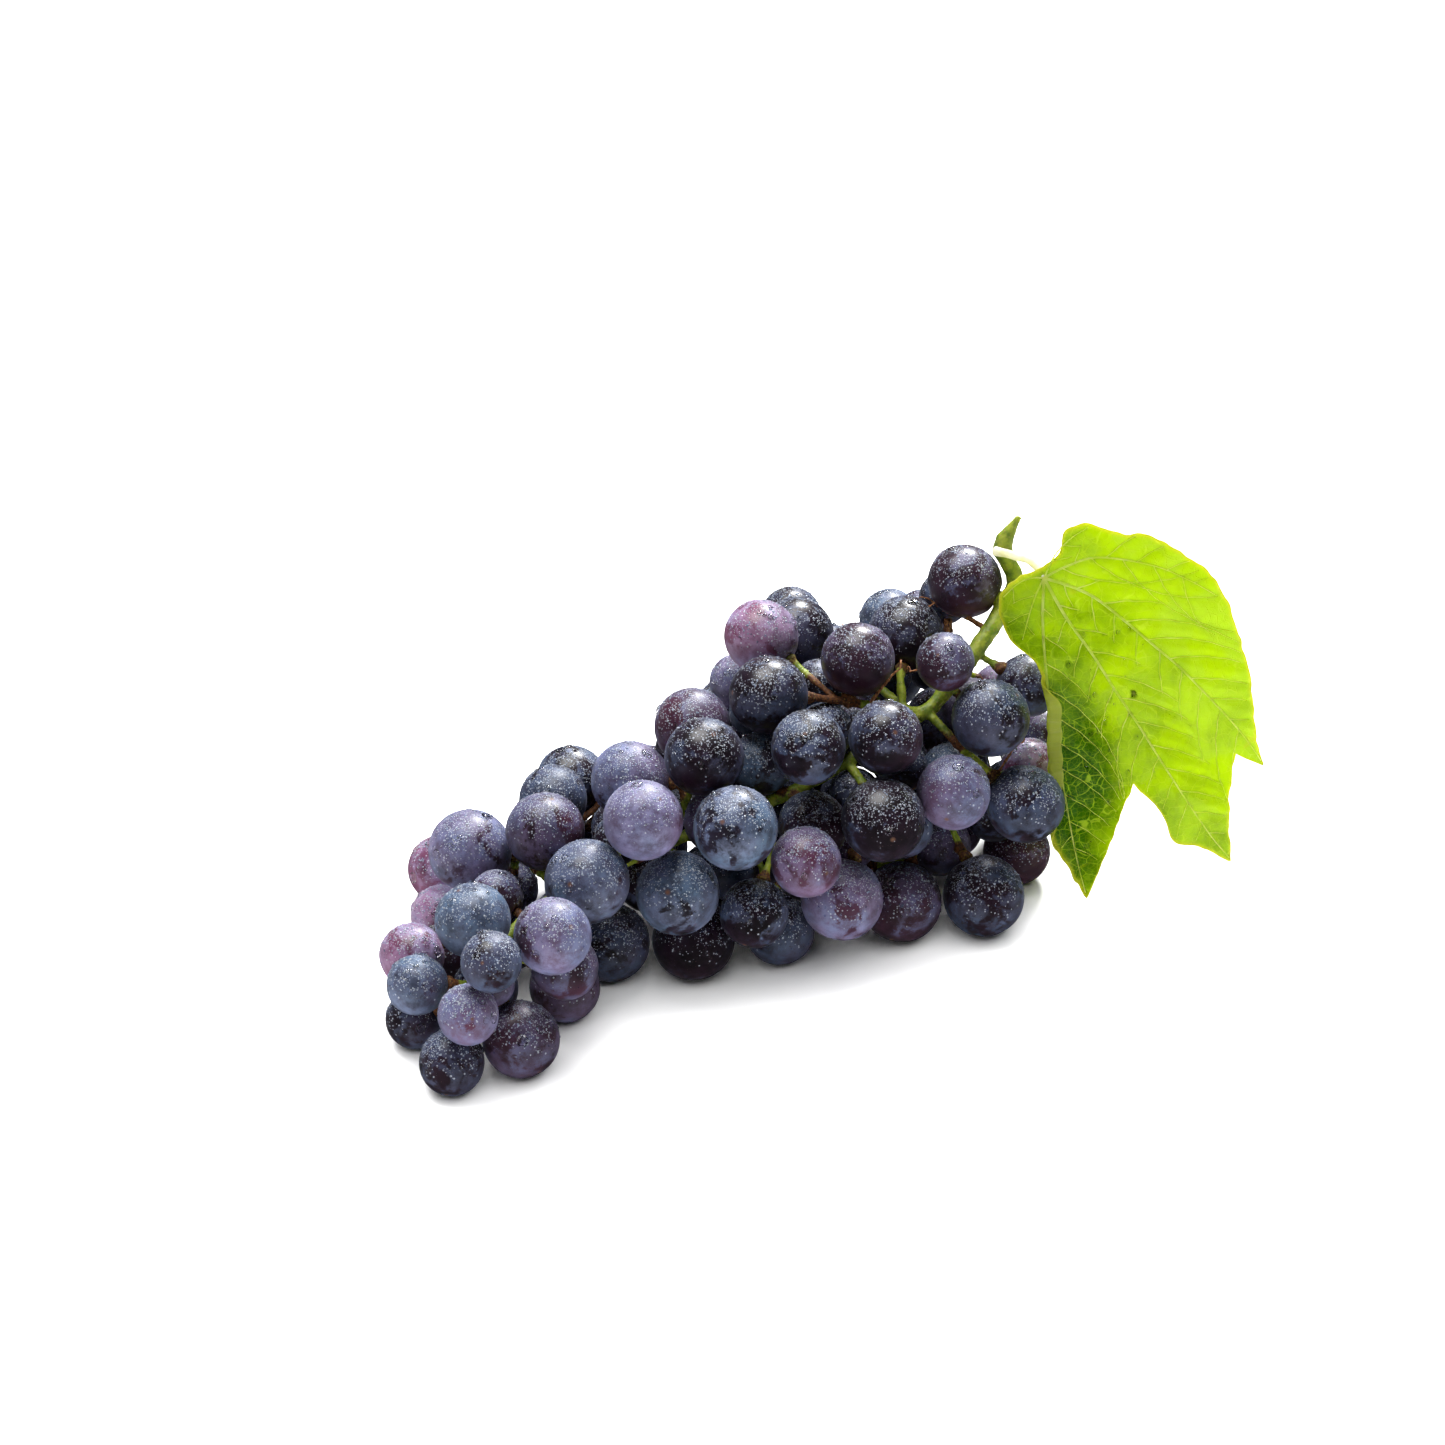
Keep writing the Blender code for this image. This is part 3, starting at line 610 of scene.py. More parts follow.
@dataclass(frozen=True)
class StemFinish:
    """Green stalks that brown with age and near the berries."""

    young: tuple[int, int, int] = (168, 178, 58)
    green: tuple[int, int, int] = (104, 128, 34)
    brown: tuple[int, int, int] = (122, 76, 36)
    crust: tuple[int, int, int] = (66, 38, 20)

    def material(self) -> bpy.types.Material:
        """Builds the stem's material. It reads the marks "age" and "wart"."""
        shader = Shader("stem_green")
        age = shader.mark("age").outputs["Fac"]
        wart = shader.mark("wart").outputs["Fac"]
        streak = shader.noise(420.0, 4.0, 0.6)
        fibre = shader.noise(1600.0, 3.0, 0.6)
        fresh = shader.blend(shader.ramp(streak, 0.3, 0.7), srgb(*self.young),
                             srgb(*self.green))
        old = shader.blend(shader.ramp(fibre, 0.3, 0.7), srgb(*self.brown),
                           srgb(*self.crust))
        turned = shader.ramp(shader.maths("ADD", age, shader.maths(
            "MULTIPLY", shader.maths("SUBTRACT", fibre, 0.5), 0.5)), 0.35, 0.65)
        colour = shader.blend(turned, fresh, old)
        dots = shader.cells(900.0)
        pale = shader.ramp(dots.outputs["Distance"], 0.1, 0.3, 1.0, 0.0)
        colour = shader.blend(shader.maths("MULTIPLY", pale, 0.5), colour,
                              srgb(176, 150, 84))
        colour = shader.blend(shader.maths("MULTIPLY", wart, 0.7), colour,
                              srgb(*self.crust))
        rough = shader.ramp(turned, 0.0, 1.0, 0.42, 0.72)
        relief = shader.bump(fibre, 0.0002)
        relief = shader.bump(pale, 0.0001, relief)
        shader.set(Base_Color=colour, Roughness=rough, Normal=relief,
                   Subsurface_Weight=0.08, Subsurface_Scale=0.002,
                   Subsurface_Radius=(0.8, 1.0, 0.3))
        return shader.material


@dataclass(frozen=True)
class DriedFinish:
    """Dry brown scraps of old stalk."""

    pale: tuple[int, int, int] = (196, 138, 88)
    dark: tuple[int, int, int] = (112, 62, 34)

    def material(self) -> bpy.types.Material:
        """Builds the material of the dried scraps."""
        shader = Shader("dried_stalk")
        fibre = shader.noise(1300.0, 4.0, 0.65)
        colour = shader.blend(shader.ramp(fibre, 0.3, 0.7), srgb(*self.dark),
                              srgb(*self.pale))
        rough = shader.ramp(fibre, 0.2, 0.8, 0.6, 0.85)
        shader.set(Base_Color=colour, Roughness=rough,
                   Normal=shader.bump(fibre, 0.0003))
        return shader.material


@dataclass(frozen=True)
class LeafFinish:
    """A thin leaf with light behind it, over a net of fine pale veins."""

    # lit and shaded are one green, painted bright and dark: painted light and shade, set by
    # the mark "light".
    lit: tuple[int, int, int]        # where the light comes through
    shaded: tuple[int, int, int]
    vein: tuple[int, int, int]
    gloss: float                     # roughness where it is wet
    matte: float
    through: float                   # share of the light that comes through it

    NET = 290.0                      # meshes of the net of veins to the metre
    FINE_NET = 900.0

    def material(self, name: str) -> bpy.types.Material:
        """Builds a face of the leaf.

        Args:
            name: The material's name.

        Returns:
            The material. It reads the map "leaf_plan", which lies flat on the leaf, and the
            marks "edge" and "light".
        """
        shader = Shader(name)
        plan = shader.tree.nodes.new("ShaderNodeUVMap")
        plan.uv_map = "leaf_plan"
        warp = shader.tree.nodes.new("ShaderNodeTexNoise")
        warp.inputs["Scale"].default_value = 14.0
        warp.inputs["Detail"].default_value = 2.0
        shader.feed(warp.inputs["Vector"], plan.outputs[0])
        shift = shader.blend(0.018, plan.outputs[0], warp.outputs["Color"],
                             "LINEAR_LIGHT")
        net = shader.cells(self.NET * 0.1, "DISTANCE_TO_EDGE", shift, 0.85)
        lines = shader.ramp(net.outputs["Distance"], 0.01, 0.035, 1.0, 0.0)
        fine = shader.cells(self.FINE_NET * 0.1, "DISTANCE_TO_EDGE", shift, 0.8)
        threads = shader.ramp(fine.outputs["Distance"], 0.02, 0.09, 1.0, 0.0)

        # The mark "light" mixes the shaded and the lit green: painted light and shade, with
        # random mottle.
        light = shader.mark("light").outputs["Fac"]
        edge = shader.mark("edge").outputs["Fac"]
        mottle = shader.ramp(shader.noise(90.0, 4.0, 0.6), 0.3, 0.7)
        tone = shader.maths("MULTIPLY_ADD", mottle, 0.35,
                            shader.maths("SUBTRACT", light, 0.18))
        green = shader.blend(shader.ramp(tone, 0.0, 1.0), srgb(*self.shaded),
                             srgb(*self.lit))
        green = shader.blend(shader.maths("MULTIPLY", threads, 0.16), green,
                             srgb(*self.vein))
        green = shader.blend(shader.maths("MULTIPLY", lines, 0.45), green,
                             srgb(*self.vein))
        blots = shader.ramp(shader.noise(160.0, 2.0), 0.7, 0.76)
        green = shader.blend(shader.maths("MULTIPLY", blots, 0.35), green,
                             srgb(196, 196, 30))
        green = shader.blend(shader.maths("MULTIPLY", edge, 0.6), green,
                             srgb(222, 214, 62))
        wet = shader.ramp(shader.noise(48.0, 2.0, 0.5), 0.48, 0.6)
        rough = shader.ramp(wet, 0.0, 1.0, self.matte, self.gloss)
        grain = shader.bump(threads, 0.00006)
        relief = shader.bump(lines, 0.00012, grain)
        shader.set(Base_Color=green, Roughness=rough, Normal=relief, IOR=1.4)

        shader.let_through(green, self.through)
        return shader.material


@dataclass(frozen=True)
class RibFinish:
    """Pale ribs and leaf stalk, streaked along with green."""

    pale: tuple[int, int, int] = (236, 240, 130)
    tinge: tuple[int, int, int] = (206, 222, 70)
    through: float = 0.5             # share of the light that comes through them

    def material(self, name: str) -> bpy.types.Material:
        """Builds the ribs' material."""
        shader = Shader(name)
        streak = shader.noise(240.0, 3.0)
        colour = shader.blend(shader.ramp(streak, 0.35, 0.65), srgb(*self.pale),
                              srgb(*self.tinge))
        rough = shader.ramp(streak, 0.2, 0.8, 0.35, 0.5)
        shader.set(Base_Color=colour, Roughness=rough,
                   Normal=shader.bump(streak, 0.0001))
        shader.let_through(colour, self.through)
        return shader.material


@dataclass(frozen=True)
class FloorFinish:
    """A plain pale studio floor."""

    tone: tuple[int, int, int] = (246, 246, 246)

    def material(self) -> bpy.types.Material:
        """Builds the floor's material, with the faintest unevenness."""
        shader = Shader("studio_floor")
        tone = srgb(*self.tone)
        colour = shader.blend(shader.ramp(shader.noise(6.0), 0.3, 0.7), tone,
                              tuple(0.985 * part for part in tone[:3]) + (1.0,))
        shader.set(Base_Color=colour, Roughness=0.6)
        return shader.material


# --- Berries ---------------------------------------------------------------------------

@dataclass(frozen=True)
class Look:
    """How one berry differs from others of its skin."""

    keeps: float | None = None       # share of its bloom that it keeps
    blush: float = 0.0               # how red it is where it is reddest
    towards: tuple[float, float, float] = (0.0, -0.3, -1.0)   # where it is reddest
    wide: float = 0.9                # how wide that red part is, as an angle
    shade: float | None = None       # 0 its bloom's own colour, 1 redder


FRONT = (0.0, -1.0, 0.3)
RIGHT = (1.0, -0.4, 0.2)
LEFT = (-1.0, -0.4, 0.2)
BELOW = (0.1, -0.5, -1.0)

LOOKS: dict[str, Look] = {
    "shoulder_1": Look(0.34, 0.75, BELOW, 0.9, 0.35),
    "shoulder_2": Look(0.62, 0.2),
    "crown_1": Look(0.5, 0.55, BELOW, 1.1, 0.6),
    "crown_2": Look(0.42, 0.15, BELOW, 0.9, 0.4),
    "crown_3": Look(0.85, 0.4, RIGHT, 0.8, 0.1),
    "crown_4": Look(0.42, 0.5, BELOW, 1.2, 0.55),
    "top_left_1": Look(0.38, 0.1),
    "top_left_2": Look(0.5, 0.1),
    "top_left_3": Look(0.76, 0.6, LEFT, 1.4, 0.6),
    "top_back_1": Look(0.45, 0.25, LEFT, 1.2, 0.4),
    "front_right_1": Look(0.12, 0.05, FRONT, 0.5, 0.2),
    "front_right_2": Look(0.36, 0.4, RIGHT, 0.8, 0.35),
    "front_right_3": Look(0.46, 0.2, FRONT, 1.0, 0.4),
    "right_1": Look(0.8, 0.35, LEFT, 0.9, 0.45),
    "right_2": Look(0.62, 0.05),
    "right_3": Look(0.66, 0.12),
    "under_right_1": Look(0.55, 0.12, FRONT, 0.9, 0.2),
    "under_right_2": Look(0.5, 0.3, FRONT, 1.3, 0.4),
    "middle_front_1": Look(0.7, 0.05),
    "middle_front_2": Look(0.3, 0.2, BELOW, 0.9, 0.3),
    "middle_front_3": Look(0.5, 0.1),
    "middle_top_1": Look(0.9, 0.15, RIGHT, 0.6, 0.3),
    "middle_top_2": Look(0.6, 0.65, LEFT, 1.2, 0.75),
    "middle_top_3": Look(0.42, 0.35, BELOW, 1.1, 0.5),
    "belly_1": Look(0.62, 0.05),
    "belly_2": Look(0.75, 0.4, FRONT, 1.1, 0.6),
    "belly_3": Look(0.74, 0.3, FRONT, 0.9, 0.45),
    "belly_5": Look(0.4, 0.2, FRONT, 1.0, 0.3),
    "left_front_1": Look(0.78, 0.2, RIGHT, 0.6, 0.3),
    "left_front_3": Look(0.8, 0.7, RIGHT, 0.5, 0.1),
    "left_back_1": Look(0.72, 0.55, BELOW, 0.5, 0.3),
    "left_back_2": Look(0.55, 0.65, RIGHT, 0.7, 0.7),
    "left_back_3": Look(0.72, 0.1),
    "left_back_4": Look(0.66, 0.6, LEFT, 1.5, 0.6),
    "tail_front_1": Look(0.7, 0.25, FRONT, 0.7, 0.2),
    "tail_front_2": Look(0.78, 0.2, FRONT, 0.7, 0.3),
    "tail_front_3": Look(0.7, 0.5, BELOW, 1.2, 0.6),
    "tail_front_4": Look(0.6, 0.25, FRONT, 1.0, 0.5),
    "tail_back_1": Look(0.95, 0.0, shade=0.0),
    "tail_back_2": Look(0.8, 0.55, LEFT, 1.2, 0.8),
    "tail_back_3": Look(0.7, 0.6, LEFT, 1.1, 0.7),
    "tail_1": Look(0.5, 0.15, FRONT, 0.9, 0.2),
    "tail_2": Look(0.85, 0.55, FRONT, 0.9, 0.6),
    "tail_3": Look(0.6, 0.6, RIGHT, 1.0, 0.4),
    "tail_4": Look(0.8, 0.45, RIGHT, 0.6, 0.15),
    "tail_5": Look(0.66, 0.25, FRONT, 1.1, 0.5),
}


@dataclass(frozen=True)
class InnerPlace:
    """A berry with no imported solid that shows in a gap: where it is from a packed one."""

    near: str
    offset: tuple[float, float, float]
    radius: float
    skin: Skin


@dataclass
class Berry:
    """One berry: a slightly lumpy ball with a dimple at its stalk and a scar at its tip."""

    name: str
    centre: np.ndarray
    radius: float
    stalk: np.ndarray                # unit vector from its centre to its stalk
    skin: Skin
    look: Look
    seed: int
    rests: bool = False

    ROWS = 38
    COLUMNS = 56
    LUMPS = 0.022                    # how lumpy it is, as a share of its radius
    DIMPLE = 0.075                   # depth of the dimple, as a share of its radius
    DIMPLE_ANGLE = 0.2
    SCAR_ANGLE = 0.05

    def __post_init__(self) -> None:
        """Draws what is its own: its length and how its lumps lie."""
        rng = np.random.default_rng(self.seed)
        self.stretch = float(rng.uniform(0.985, 1.025))
        self.oval = float(rng.uniform(0.975, 1.0))
        self.keeps = self.look.keeps
        if self.keeps is None:
            self.keeps = float(np.clip(rng.normal(SKINS[self.skin].cover, 0.12), 0.2, 0.95))
        self.shade = self.look.shade
        if self.shade is None:
            self.shade = float(rng.uniform(0.0, 0.5))
        self.side, self.up = across(self.stalk[None])
        self.side, self.up = self.side[0], self.up[0]

    def reach(self, directions: np.ndarray) -> np.ndarray:
        """Distance from the centre to the skin along unit directions.

        reach = R (oval shape - lumps - dimple e^(-(a/w)^2) + shoulder - tip e^(-(b/0.35)^2)),
        with a the angle from the stalk and b the angle from the blossom end. The shoulder
        is a low ring round the dimple.
        """
        along = directions @ self.stalk
        angle = np.arccos(np.clip(along, -1.0, 1.0))
        sideways = directions @ self.side
        lumps = lattice_noise(directions, 0.9, self.seed) * self.LUMPS
        dimple = self.DIMPLE * np.exp(-(angle / self.DIMPLE_ANGLE) ** 2)
        shoulder = 0.012 * np.exp(-((angle - 0.42) / 0.16) ** 2)
        tip = 0.02 * np.exp(-((np.pi - angle) / 0.35) ** 2)
        shape = 1.0 + (self.stretch - 1.0) * along ** 2 - (1.0 - self.oval) * sideways ** 2
        return self.radius * (shape - lumps - dimple + shoulder - tip)

    def surface(self) -> Surface:
        """Its skin as rows from the stalk to the blossom end.

        angle(u) = pi (u - 0.08 sin(2 pi u)), so that rows are closer at both ends.
        """
        u = np.linspace(0.0, 1.0, self.ROWS + 1)[1:-1]
        angle = np.pi * (u - 0.08 * np.sin(2 * np.pi * u))
        turn = np.linspace(0.0, 2 * np.pi, self.COLUMNS, endpoint=False)
        angle, turn = (part.ravel() for part in np.meshgrid(angle, turn, indexing="ij"))
        directions = (np.cos(angle)[:, None] * self.stalk
                      + (np.sin(angle) * np.cos(turn))[:, None] * self.side
                      + (np.sin(angle) * np.sin(turn))[:, None] * self.up)
        directions = np.vstack([directions, self.stalk, -self.stalk])
        corners = self.centre + directions * self.reach(directions)[:, None]
        if self.rests:
            corners[:, 2] = np.maximum(corners[:, 2], 0.0)
        rings = self.ROWS - 1
        faces = [row[::-1] for row in ring_faces(rings, self.COLUMNS)]
        top = rings * self.COLUMNS
        faces += fan_faces(top, 0, self.COLUMNS, flip=False)
        faces += fan_faces(top + 1, (rings - 1) * self.COLUMNS, self.COLUMNS, flip=True)
        return Surface(corners, faces, {"skin": self.marks(directions)})

    def marks(self, directions: np.ndarray) -> np.ndarray:
        """Bloom, blush, scar and shade at unit directions, as rows of four."""
        towards = unit(np.array(self.look.towards))
        off = np.arccos(np.clip(directions @ towards, -1.0, 1.0))
        uneven = lattice_noise(directions, 0.5, self.seed + 900)
        red = self.look.blush * smooth_step(self.look.wide + 0.45, self.look.wide - 0.45,
                                            off + 0.5 * (uneven - 0.5))
        from_stalk = np.arccos(np.clip(directions @ self.stalk, -1.0, 1.0))
        red = np.maximum(red, 0.5 * np.exp(-(from_stalk / 0.3) ** 2))
        scar = np.exp(-((np.pi - from_stalk) / self.SCAR_ANGLE) ** 4)
        scar = np.maximum(scar, 0.7 * np.exp(-(from_stalk / 0.12) ** 4))
        patchy = lattice_noise(directions, 0.8, self.seed + 300)
        bloom = np.clip(self.keeps + 0.35 * (patchy - 0.5) - 0.25 * red, 0.0, 1.0)
        return np.column_stack([bloom, np.clip(red, 0.0, 1.0), scar,
                                np.full(len(directions), self.shade)])


INNER: tuple[InnerPlace, ...] = (
    InnerPlace("tail_back_3", (17.5, 2.5, 7.0), 7.6, Skin.PLUM),
    InnerPlace("hollow_back_2", (12.0, -15.5, 0.0), 7.6, Skin.NAVY),
    InnerPlace("hollow_back_2", (16.0, 6.5, 8.0), 9.4, Skin.PLUM),
    InnerPlace("top_left_1", (-1.5, -4.0, -19.0), 8.3, Skin.STEEL),
    InnerPlace("top_left_3", (-6.0, 6.0, -17.5), 7.6, Skin.MAUVE),
    InnerPlace("crown_1", (-9.5, 6.5, -12.5), 7.6, Skin.NAVY),
    InnerPlace("under_right_1", (-10.5, 14.5, 6.0), 8.3, Skin.PLUM),
    InnerPlace("right_1", (0.5, 18.0, -6.0), 8.3, Skin.STEEL),
    InnerPlace("shoulder_3", (12.0, -25.5, 1.0), 9.0, Skin.PLUM),
    InnerPlace("shoulder_2", (-13.0, 1.5, -7.5), 8.3, Skin.PLUM),
    InnerPlace("right_3", (2.5, 21.0, -2.0), 7.6, Skin.ROSE),
    InnerPlace("under_right_4", (-10.0, 11.0, 20.0), 9.0, Skin.NAVY),
    InnerPlace("shoulder_2", (-6.0, 15.5, -11.5), 7.6, Skin.ROSE),
    InnerPlace("under_right_4", (7.0, -5.0, 21.0), 8.3, Skin.PLUM),
    InnerPlace("left_back_4", (16.5, -1.5, 3.5), 8.5, Skin.PLUM),
)


class Bunch:
    """All the berries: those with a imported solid, and the ones hidden deeper in."""

    COLLAR_GAP = 0.35                # from a berry to the face of its stalk's collar
    NAME = "berry_"
    CLEAR = 0.3                      # room kept round an inner berry
    SMALLEST = 5.2                   # radius of the smallest inner berry
    LARGEST = 8.6
    GRID = 2.5                       # spacing of the places tried for inner berries
    NEAR_STEM = 19.0                 # the furthest an inner berry sits from a branch
    COVERED = 0.52                   # how much of one that fills a hollow is out of sight
    CLOSING = 3.4                    # gaps in the outline narrower than twice this are filled
    RASTER = 1.5
    MOST_INNER = 78                  # all the inner berries, those that show included
    PUSHES = 60
    FILL_SKINS = (Skin.NAVY, Skin.PLUM, Skin.NAVY)

    def __init__(self) -> None:
        """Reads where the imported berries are, then finds room for the inner ones."""
        self.stem = np.unique(node_corners("stem").round(2), axis=0)
        self.leaf = np.unique(node_corners("leaf").round(2), axis=0)
        self.skins = self.packed_skins()
        self.berries = [self.packed_berry(name, number)
                        for number, name in enumerate(sorted(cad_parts))
                        if name.startswith(self.NAME)]
        self.inner = self.inner_berries()

    @staticmethod
    def packed_skins() -> dict[str, Skin]:
        """The skin of each packed berry, from its own material."""
        known = {skin.value: skin for skin in Skin}
        found = {}
        for name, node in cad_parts.items():
            label = node.data.materials[0].name.split(".")[0] if node.data.materials else ""
            found[name] = known.get(label, Skin.NAVY)
        return found

    def packed_berry(self, name: str, number: int) -> Berry:
        """A berry in the place of a packed one, turned to its stalk."""
        low, high = (np.array(corner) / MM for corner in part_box(name))
        radius = (high[1] - low[1]) / 2
        centre = np.array([(low[0] + high[0]) / 2, (low[1] + high[1]) / 2,
                           high[2] - radius])
        away = self.stem - centre
        reach = np.linalg.norm(away, axis=1)
        face = away[reach < max(radius + self.COLLAR_GAP + 0.6, reach.min() + 0.3)]
        return Berry(name=name.removeprefix(self.NAME), centre=centre, radius=radius,
                     stalk=unit(face.mean(axis=0)), skin=self.skins[name],
                     look=LOOKS.get(name.removeprefix(self.NAME), Look()),
                     seed=100 + number, rests=bool(centre[2] < radius + 0.05))

    def inner_berries(self) -> list[Berry]:
        """Sets the inner berries that show, then fills the hollows, largest hollow first."""
        middles = np.array([berry.centre for berry in self.berries])
        radii = np.array([berry.radius for berry in self.berries])
        away = nearest(self.stem, middles)[0]
        branch = self.stem[away > 10.5]
        found = [self.seen_berry(place, number, middles, radii, branch)
                 for number, place in enumerate(INNER)]
        middles = np.vstack([middles] + [berry.centre for berry in found])
        radii = np.concatenate([radii, [berry.radius for berry in found]])

        low, high = middles.min(axis=0) - 4, middles.max(axis=0) + 4
        steps = [np.arange(a, b, self.GRID) for a, b in zip(low, high)]
        tried = np.stack(np.meshgrid(*steps, indexing="ij"), axis=-1).reshape(-1, 3)
        near_stem, _ = nearest(tried, branch)
        tried = tried[(near_stem < self.NEAR_STEM) & (near_stem > self.SMALLEST)]
        spread = np.linalg.norm(tried[:, None] - middles[None], axis=2) - radii
        fits = spread.min(axis=1) > self.SMALLEST
        tried, spread = tried[fits], spread[fits]
        hidden = self.hidden(tried, middles, radii) > self.COVERED
        tried, spread = tried[hidden], spread[hidden]
        room = np.minimum(nearest(tried, branch)[0], nearest(tried, self.leaf)[0] - 1.0)
        room = np.minimum(np.minimum(room, tried[:, 2] + 0.3), spread.min(axis=1))
        while True:
            best = int(np.argmax(room))
            if room[best] < self.SMALLEST + self.CLEAR or len(found) == self.MOST_INNER:
                return found
            radius = min(float(room[best]), self.LARGEST) - self.CLEAR
            skin = self.FILL_SKINS[len(found) % len(self.FILL_SKINS)]
            found.append(self.inner_berry(tried[best], radius, skin, len(found), branch))
            room = np.minimum(room, np.linalg.norm(tried - tried[best], axis=1) - radius)

    def hidden(self, tried: np.ndarray, middles: np.ndarray,
               radii: np.ndarray) -> np.ndarray:
        """How much of a berry at each place others cover, seen from the front and above.

        A spot of its disc is covered where, square to the line of sight, it lies within the
        radius of a berry that is nearer. The share is 0 for one that would stand out of the
        bunch's outline.
        """
        tilt = math.radians(Studio.elevation)
        sight = np.array([0.0, math.cos(tilt), -math.sin(tilt)])
        axes = np.array([[1.0, 0.0, 0.0], [0.0, math.sin(tilt), math.cos(tilt)]])
        turn = np.linspace(0.0, 2 * np.pi, 12, endpoint=False)
        spots = np.vstack([np.column_stack([np.cos(turn), np.sin(turn)]) * reach
                           for reach in (3.5, 7.0)])
        flat = (tried @ axes.T)[:, None] + spots[None]
        nearer = (middles @ sight)[None] < (tried @ sight)[:, None]
        gaps = np.linalg.norm(flat[:, :, None] - (middles @ axes.T)[None, None], axis=3)
        gaps -= radii
        inside = self.outlined(flat.reshape(-1, 2), middles @ axes.T, radii)
        inside = inside.reshape(gaps.shape[:2]).all(axis=1)
        return inside * ((gaps < 0.0) & nearer[:, None]).any(axis=2).mean(axis=1)

    def outlined(self, places: np.ndarray, discs: np.ndarray,
                 radii: np.ndarray) -> np.ndarray:
        """Whether places lie within the discs' outline, small gaps in it closed.

        The discs are grown by the closing, and the outline is all that lies further than
        the closing from the outside of the grown ones.
        """
        low = discs.min(axis=0) - 24.0
        count = ((discs.max(axis=0) + 24.0 - low) / self.RASTER).astype(int) + 1
        steps = [low[k] + self.RASTER * np.arange(count[k]) for k in (0, 1)]
        raster = np.stack(np.meshgrid(*steps, indexing="ij"), axis=-1).reshape(-1, 2)
        reach = np.linalg.norm(raster[:, None] - discs[None], axis=2) - radii
        outside = reach.min(axis=1) > self.CLOSING
        closed = np.zeros(len(raster), bool)
        closed[~outside] = nearest(raster[~outside], raster[outside])[0] > self.CLOSING
        index = np.rint((places - low) / self.RASTER).astype(int)
        index = np.clip(index, 0, count - 1)
        return closed[index[:, 0] * count[1] + index[:, 1]]

    def seen_berry(self, place: "InnerPlace", number: int, middles: np.ndarray,
                   radii: np.ndarray, branch: np.ndarray) -> Berry:
        """An inner berry that shows in a gap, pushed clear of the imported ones."""
        host = next(berry for berry in self.berries if berry.name == place.near)
        centre = host.centre + np.array(place.offset)
        for _ in range(self.PUSHES):
            away = centre - middles
            gap = np.linalg.norm(away, axis=1)
            short = np.maximum(radii + place.radius + self.CLEAR - gap, 0.0)
            centre = centre + 0.5 * (unit(away) * short[:, None]).sum(axis=0)
            off, which = nearest(centre[None], branch)
            short = max(0.0, place.radius + self.CLEAR - float(off[0]))
            centre = centre + 0.5 * short * unit(centre - branch[which[0]])
            centre[2] = max(centre[2], place.radius - 0.2)
        return self.inner_berry(centre, place.radius, place.skin, number, branch)

    def inner_berry(self, centre: np.ndarray, radius: float, skin: Skin, number: int,
                    branch: np.ndarray) -> Berry:
        """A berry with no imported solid, turned to the nearest branch."""
        away = branch - centre
        reach = np.linalg.norm(away, axis=1)
        root = away[np.argmin(reach)]
        return Berry(name=f"inner_{number + 1:02d}", centre=centre, radius=radius,
                     stalk=unit(root), skin=skin, look=Look(), seed=500 + number,
                     rests=bool(centre[2] < radius + 0.1))

    def everyone(self) -> list[Berry]:
        """All the berries, packed ones first."""
        return self.berries + self.inner

    def build(self, skins: dict[Skin, bpy.types.Material]) -> None:
        """Makes each berry a piece of its own."""
        for berry in self.berries:
            make_piece("grape_" + berry.name, berry.surface(),
                       [skins[berry.skin]], self.NAME + berry.name)
        for berry in self.inner:
            make_piece("grape_" + berry.name, berry.surface(),
                       [skins[berry.skin]])
        log.info("%d packed berries, %d inner ones", len(self.berries), len(self.inner))


# --- Dew -------------------------------------------------------------------------------

